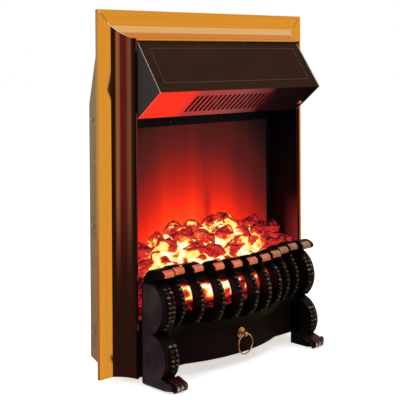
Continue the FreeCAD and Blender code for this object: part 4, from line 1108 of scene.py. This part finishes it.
class HEARTH_OT_fret(bpy.types.Operator):
    """Gives the fret its iron, and adds its beads, brass tips and claws"""

    bl_idname = "hearth.fret"
    bl_label = "Fret"

    def execute(self, context):
        sizes = context.scene.hearth_sizes
        colours = context.scene.hearth_colours
        dress(lit_iron(colours), "fret_grille")
        dress(side_lit_iron(colours), "fret_left_cheek", "fret_right_cheek")
        self.beads(sizes, rubbed_and_top_lit_iron(colours))
        self.tips(sizes, tip_paint(colours))
        self.claws(sizes, toe_paint(colours))
        return {"FINISHED"}

    def beads(self, sizes, material):
        """One row of half-round beads down each bar, and two down each cheek's bulge and knee."""
        width = sizes.bead_width
        deselect()
        bpy.ops.mesh.primitive_uv_sphere_add(segments=10, ring_count=6, radius=width / 2)
        bead = added("bead")
        editing(bead)
        bpy.ops.mesh.bisect(plane_co=(0, 0, -BEAD_SINK * width), plane_no=(0, 0, 1), clear_inner=True,
                            use_fill=True)
        bpy.ops.mesh.select_all(action="SELECT")
        bpy.ops.transform.resize(value=(1.0, BEAD_STRETCH, 2 * sizes.bead_rise / width))
        done_editing()
        bpy.ops.object.shade_smooth()
        rows = [("fret_grille", x, *BEAD_RUNS[0]) for x in bar_places()]
        for node, hand in CHEEKS:
            rows += [(node, hand * CHEEK_BEADS + row * width, *run)
                     for row in CHEEK_ROWS for run in BEAD_RUNS]
        places = [facing(*seat) for row in rows for seat in seats(*row, sizes.bead_pitch)]
        kept(copies_joined(bead, places, "fret_beads"), material)

    def tips(self, sizes, material):
        """The brass end of every curl: a strip that bends round its nose, from its front to its top."""
        groups = (("curl_tips", [("fret_grille", x) for x in bar_places()]),
                  ("cheek_tips", [(node, cheek_middle(node)) for node, _ in CHEEKS]))
        for name, curls in groups:
            noses = [front_of(node, x, CURL_MIDDLE)[0] for node, x in curls]
            places = [Matrix.Translation(nose) for nose in noses]
            line = [point - noses[0] for point in self.nose_line(sizes, *curls[0])]
            strip = bent_strip(line, sizes.tip_width, sizes.tip_thickness, TIP_ROUNDING)
            kept(copies_joined(strip, places, name), material)

    def nose_line(self, sizes, node, x):
        """Points up the front of a curl and back over its top, found on the curl's own surface."""
        front = front_of(node, x, CURL_MIDDLE)[0].y
        rise = [front_of(node, x, CURL_MIDDLE + step * sizes.tip_height)[0] for step in CURL_FRONT]
        return rise + [top_of(node, x, front + share * sizes.cap_depth)[0] for share in CURL_TOP]

    def claws(self, sizes, material):
        """Three toes side by side on each foot: round ridges from the ankle down to the tip."""
        tips = [front_of(node, cheek_middle(node), TOE_LEVEL)[0] for node, _ in CHEEKS]
        line = [point - tips[0] for point in self.toe_line(CHEEKS[0][0], tips[0])]
        toe = bent_strip(line, sizes.toe_width, sizes.toe_thickness, TOE_ROUNDING, TOE_OFFSET)
        cleaned(toe, TOE_MERGE)
        places = [Matrix.Translation(tip + Vector((side * sizes.toe_pitch, 0.0, 0.0)))
                  for tip in tips for side in (-1, 0, 1)]
        kept(copies_joined(toe, places, "claw_toes"), material)

    def toe_line(self, node, tip):
        """Points from under the tip of a foot up its slope, found on the foot's own surface."""
        core = tip + TOE_CORE
        line = []
        for angle in TOE_SWEEP:
            outwards = Vector((0.0, -math.cos(angle * DEGREE), math.sin(angle * DEGREE)))
            spot = met(NODES[node], core + TOE_REACH * outwards, -outwards)
            if spot is None:
                raise RuntimeError("a foot's surface was not found")
            line.append(spot[0])
        return line


# Ash cover and ring pull
class HEARTH_OT_ash_cover(bpy.types.Operator):
    """Paints the ash cover and gives the ring pull its antique brass"""

    bl_idname = "hearth.ash_cover"
    bl_label = "Ash cover"

    def execute(self, context):
        colours = context.scene.hearth_colours
        # Dark brown stove paint on a rolled sheet: satin, a little uneven
        dress(grained("steel_stove_painted_brown", colours.cover, "#180D10", 18.0, rough=(0.42, 0.55),
                      bump=0.05, specular=0.02), "ash_cover")
        # Antiqued cast brass: brown in the hollows, pale where hands have rubbed it
        dress(grained("brass_cast_antiqued", colours.antique, "#9A7460", 3.0, metallic=1.0,
                      rough=(0.2, 0.32)), "pull_rose", "pull_ring")
        return {"FINISHED"}


# Switches and pilot lamp
CONTROL_FINISHES = (
    # Moulded nylon rockers: brown-black, with no gloss to speak of
    ("nylon_moulded_rocker", "#281817", "#1C1010", 1.2, dict(rough=(0.4, 0.5), specular=0.0),
     "flame_rocker", "low_heat_rocker", "high_heat_rocker"),
    # Moulded nylon bodies: near black with a low gloss
    ("nylon_moulded_black", "#1A1212", "#110A0A", 1.5, dict(rough=(0.45, 0.6), specular=0.02),
     "switch_bodies", "cable_gland", "terminal_block"),
)
PILOT_GLOW = (2.0 * MM, 4.5 * MM)


def pilot_lens():
    """Clear red polycarbonate over a neon lamp: a small pink point of light in a dark red rim."""
    material, tree, where = new_material("polycarbonate_pilot_lens")
    low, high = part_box("pilot_lamp")
    lamp = (low + high) / 2
    away = add(tree, "VectorMath", {0: where, 1: (lamp.x, low.y, lamp.z)}, operation="DISTANCE")
    return shaded(material, {
        "Emission Color": "#FF6A78",
        "Emission Strength": ranged(tree, away.outputs["Value"], *PILOT_GLOW, 1.0, 0.1),
        "Base Color": "#8A1A22",
        "Roughness": 0.15,
    })


class HEARTH_OT_controls(bpy.types.Operator):
    """Gives the rocker switches and the pilot lamp their plastics"""

    bl_idname = "hearth.controls"
    bl_label = "Controls"

    def execute(self, context):
        dress_each(CONTROL_FINISHES)
        dress(pilot_lens(), "pilot_lamp")
        return {"FINISHED"}


# Works behind the screen and under the canopy
WORKS_FINISHES = (
    # Bright rolled foil: a wrinkled mirror that throws the flames
    ("aluminium_foil_bright", "#E6E6E8", "#BDBDC1", 6.0, dict(metallic=1.0, rough=(0.1, 0.25), bump=0.4),
     "rear_reflector", "spindle_vanes"),
    # Ground steel rod: fine rings round the shaft
    ("steel_ground_shaft", "#B5B5B4", "#8F8F8E", 0.8,
     dict(stretch=(8, 1, 1), metallic=1.0, rough=(0.2, 0.35)), "spindle_rod", "fan_shaft"),
    # Sintered bronze: brown-gold and porous
    ("bronze_sintered", "#A9854E", "#7C5F38", 0.7, dict(metallic=1.0, rough=(0.4, 0.55), bump=0.4),
     "spindle_bushes", "fan_bearings"),
    # Plated can of a small gear motor: smooth, mid grey, half bright
    ("steel_plated_motor_can", "#8A8A8C", "#6A6A6D", 2.0, dict(metallic=1.0, rough=(0.3, 0.42)),
     "gear_motor"),
    # Blown lamp glass: clear, with a warm tint from the filament
    ("glass_blown_lamp", "#FFF0D8", "#FFE8C8", 30.0, dict(rough=(0.02, 0.05), bump=0.01, transmission=1.0),
     "left_lamp", "right_lamp"),
    # Glazed porcelain: white, glassy, with a few specks
    ("porcelain_glazed", "#EFEBE2", "#DCD6C8", 2.0, dict(rough=(0.1, 0.2), bump=0.05),
     "lamp_holders", "thermal_cutout"),
    # Pressed aluminium: pale grey with drawn lines along the blades
    ("aluminium_pressed", "#CFCFD1", "#A8A8AC", 1.5,
     dict(stretch=(0.1, 1, 1), metallic=1.0, rough=(0.3, 0.45)), "fan_rotor", "fan_end_plates", "fan_scroll"),
    # Laminated steel: thin dark lines between the sheets of the stack
    ("steel_laminated_stack", "#6C6C70", "#3A3A3E", 0.5,
     dict(stretch=(1, 0.05, 0.05), metallic=1.0, rough=(0.4, 0.55), bump=0.4), "motor_stator"),
    # Enamelled copper wire, wound: orange-brown with a ridge for each turn
    ("copper_enamelled_winding", "#C4703A", "#8A431E", 0.6,
     dict(stretch=(0.1, 1, 1), rough=(0.25, 0.4), bump=0.5), "motor_coil"),
    # Oxidised resistance wire: dull grey-brown
    ("wire_resistance_oxidised", "#6F665C", "#4A433C", 0.8, dict(metallic=1.0, rough=(0.45, 0.6)),
     "heater_coils"),
    # Mica sheet: tan, layered, with silvery flakes
    ("mica_split_sheet", "#C4B38E", "#9A8864", 4.0, dict(rough=(0.25, 0.5), bump=0.15), "heater_supports"),
)


class HEARTH_OT_works(bpy.types.Operator):
    """Gives the spindle, lamps, fan and heater their finishes"""

    bl_idname = "hearth.works"
    bl_label = "Works"

    def execute(self, context):
        dress_each(WORKS_FINISHES)
        return {"FINISHED"}


# Stage: the camera's place and lens, as fitted to the photograph
CAMERA_PLACE = Vector((-1.2156, -1.23827, 0.53635))
CAMERA_YAW, CAMERA_PITCH, CAMERA_ROLL = 43.71 * DEGREE, 0.463 * DEGREE, -0.342 * DEGREE
FRAME_PIXELS, FOCAL_PIXELS, HORIZON_PIXEL = 400.0, 974.43, 64.573
SENSOR = 36.0

# The room that the brass mirrors: light levels, and the walls by degrees from the front towards the left
WHITE, WARM, GREY = (0.95, 0.95, 0.95), (0.9, 0.66, 0.2), (0.4, 0.36, 0.3)
BLACK, RED, BROWN = (0.026, 0.015, 0.03), (0.118, 0.024, 0.06), (0.3, 0.1, 0.05)
RIGHT_WALL = ((-180, WHITE), (-100, WHITE), (-80, WARM), (-8, WARM), (12, BLACK))
UPPER_WALL = (*RIGHT_WALL, (48, BLACK), (52, (0.39, 0.23, 0.29)), (62, (0.33, 0.165, 0.17)), (66, RED),
              (84, RED), (90, (0.2, 0.09, 0.11)), (102, (0.24, 0.16, 0.22)), (106, (0.09, 0.05, 0.06)),
              (110, BLACK), (124, BLACK), (134, GREY), (165, WHITE), (180, WHITE))
LOWER_WALL = (*RIGHT_WALL, (124, BLACK), (134, BROWN), (175, WHITE), (180, WHITE))
WALL_STEP = (-0.215, -0.14)
CEILING = (0.12, 0.4)

# The light on all else: the room's soft grey, the floor, and boxes with name, place, aim, side and power
SOFT_GREY, FULL_WHITE = (0.5, 0.5, 0.5), (1.0, 1.0, 1.0)
FLOOR_SIZE, FLOOR_LIGHT = 30.0, 0.55
SOFT_BOXES = (("overhead", (0.2, -0.4, 2.6), (0, 0, 0.2), 2.4, 40.0),
              ("front_right", (1.6, -2.2, 1.6), (0, 0, 0.3), 1.2, 10.0),
              ("left", (-2.2, -0.5, 1.0), (0, 0, 0.3), 1.2, 25.0))


class HEARTH_OT_stage(bpy.types.Operator):
    """Adds the pale floor, the soft studio light and the camera"""

    bl_idname = "hearth.stage"
    bl_label = "Stage"

    def execute(self, context):
        scene = context.scene
        scene.view_settings.view_transform = "Standard"
        self.floor(scene.hearth_colours)
        self.studio(scene)
        self.lamps(scene)
        self.camera(scene)
        return {"FINISHED"}

    def floor(self, colours):
        """A wide floor of pale paper, lit from below like a light table, so that it stays white."""
        deselect()
        bpy.ops.mesh.primitive_plane_add(size=FLOOR_SIZE)
        floor = added("studio_floor")
        paper = grained("paper_studio_floor", colours.floor, "#F1F0EE", 300.0, rough=(0.85, 0.95), bump=0.0)
        floor.data.materials.append(glowing(paper, FULL_WHITE, FLOOR_LIGHT))
        floor.visible_glossy = False
        floor.visible_diffuse = False

    def studio(self, scene):
        """White walls at the back, a warm one at the front right, a dark room with doorways at the left."""
        world = bpy.data.worlds.new("studio_room")
        scene.world = world
        world.use_nodes = True
        tree = world.node_tree
        tree.nodes.clear()
        way = split(tree, coordinates(tree, "Generated"))
        left, front = (product(tree, way[axis], -1.0) for axis in "XY")
        turn = figured(tree, "ARCTAN2", left, front)
        lower, upper = (graded_along(tree, turn, wall, DEGREE) for wall in (LOWER_WALL, UPPER_WALL))
        walls = mixed(tree, ranged(tree, way["Z"], *WALL_STEP), lower, upper)
        room = mixed(tree, ranged(tree, way["Z"], *CEILING), walls, WHITE)
        seen = add(tree, "LightPath").outputs
        mirrored = mixed(tree, seen["Is Glossy Ray"], SOFT_GREY, room)
        sky = mixed(tree, seen["Is Camera Ray"], mirrored, FULL_WHITE)
        light = add(tree, "Background", {"Color": sky, "Strength": 1.0})
        add(tree, "OutputWorld", {"Surface": light.outputs[0]})

    def lamps(self, scene):
        """Three soft boxes that polished brass doesn't mirror: overhead, front right and left."""
        for name, place, aim, side, power in SOFT_BOXES:
            box = bpy.data.lights.new(name, "AREA")
            box.shape = "SQUARE"
            box.size = side
            box.energy = power
            lamp = bpy.data.objects.new(name, box)
            scene.collection.objects.link(lamp)
            lamp.location = place
            lamp.rotation_euler = (Vector(aim) - Vector(place)).to_track_quat("-Z", "Y").to_euler()
            lamp.visible_glossy = False

    def camera(self, scene):
        """The photograph's own viewpoint, with the rise that its level frame needed."""
        lens = bpy.data.cameras.new("photo_camera")
        lens.sensor_width = SENSOR
        lens.lens = FOCAL_PIXELS * SENSOR / FRAME_PIXELS
        lens.shift_y = HORIZON_PIXEL / FRAME_PIXELS - 0.5
        camera = bpy.data.objects.new("photo_camera", lens)
        scene.collection.objects.link(camera)
        ahead = Vector((math.sin(CAMERA_YAW), math.cos(CAMERA_YAW), 0))
        level = Vector((math.cos(CAMERA_YAW), -math.sin(CAMERA_YAW), 0))
        forward = math.cos(CAMERA_PITCH) * ahead - Vector((0, 0, math.sin(CAMERA_PITCH)))
        upright = level.cross(forward)
        right = math.cos(CAMERA_ROLL) * level + math.sin(CAMERA_ROLL) * upright
        upward = math.cos(CAMERA_ROLL) * upright - math.sin(CAMERA_ROLL) * level
        turn = Matrix((right, upward, -forward)).transposed().to_4x4()
        camera.matrix_world = Matrix.Translation(CAMERA_PLACE) @ turn
        scene.camera = camera


PIECES = (HEARTH_OT_trim, HEARTH_OT_casing, HEARTH_OT_canopy, HEARTH_OT_firebox, HEARTH_OT_flame_screen,
          HEARTH_OT_ember_bed, HEARTH_OT_coals, HEARTH_OT_fret, HEARTH_OT_ash_cover, HEARTH_OT_controls,
          HEARTH_OT_works, HEARTH_OT_stage)


class HEARTH_PT_panel(bpy.types.Panel):
    """Lists the pieces, their sizes and their colours"""

    bl_idname = "HEARTH_PT_panel"
    bl_label = "Hearth"
    bl_space_type = "VIEW_3D"
    bl_region_type = "UI"
    bl_category = "Hearth"

    def draw(self, context):
        for piece in PIECES:
            self.layout.operator(piece.bl_idname)
        for group in (context.scene.hearth_sizes, context.scene.hearth_colours):
            column = self.layout.column()
            for name in group.__annotations__:
                column.prop(group, name)


CLASSES = (HearthSizes, HearthColours, *PIECES, HEARTH_PT_panel)


def register():
    for kind in CLASSES:
        bpy.utils.register_class(kind)
    bpy.types.Scene.hearth_sizes = bpy.props.PointerProperty(type=HearthSizes)
    bpy.types.Scene.hearth_colours = bpy.props.PointerProperty(type=HearthColours)


def unregister():
    del bpy.types.Scene.hearth_colours
    del bpy.types.Scene.hearth_sizes
    for kind in reversed(CLASSES):
        bpy.utils.unregister_class(kind)


def main():
    register()
    for piece in PIECES:
        group, name = piece.bl_idname.split(".")
        getattr(getattr(bpy.ops, group), name)()


if __name__ == "__main__":
    main()
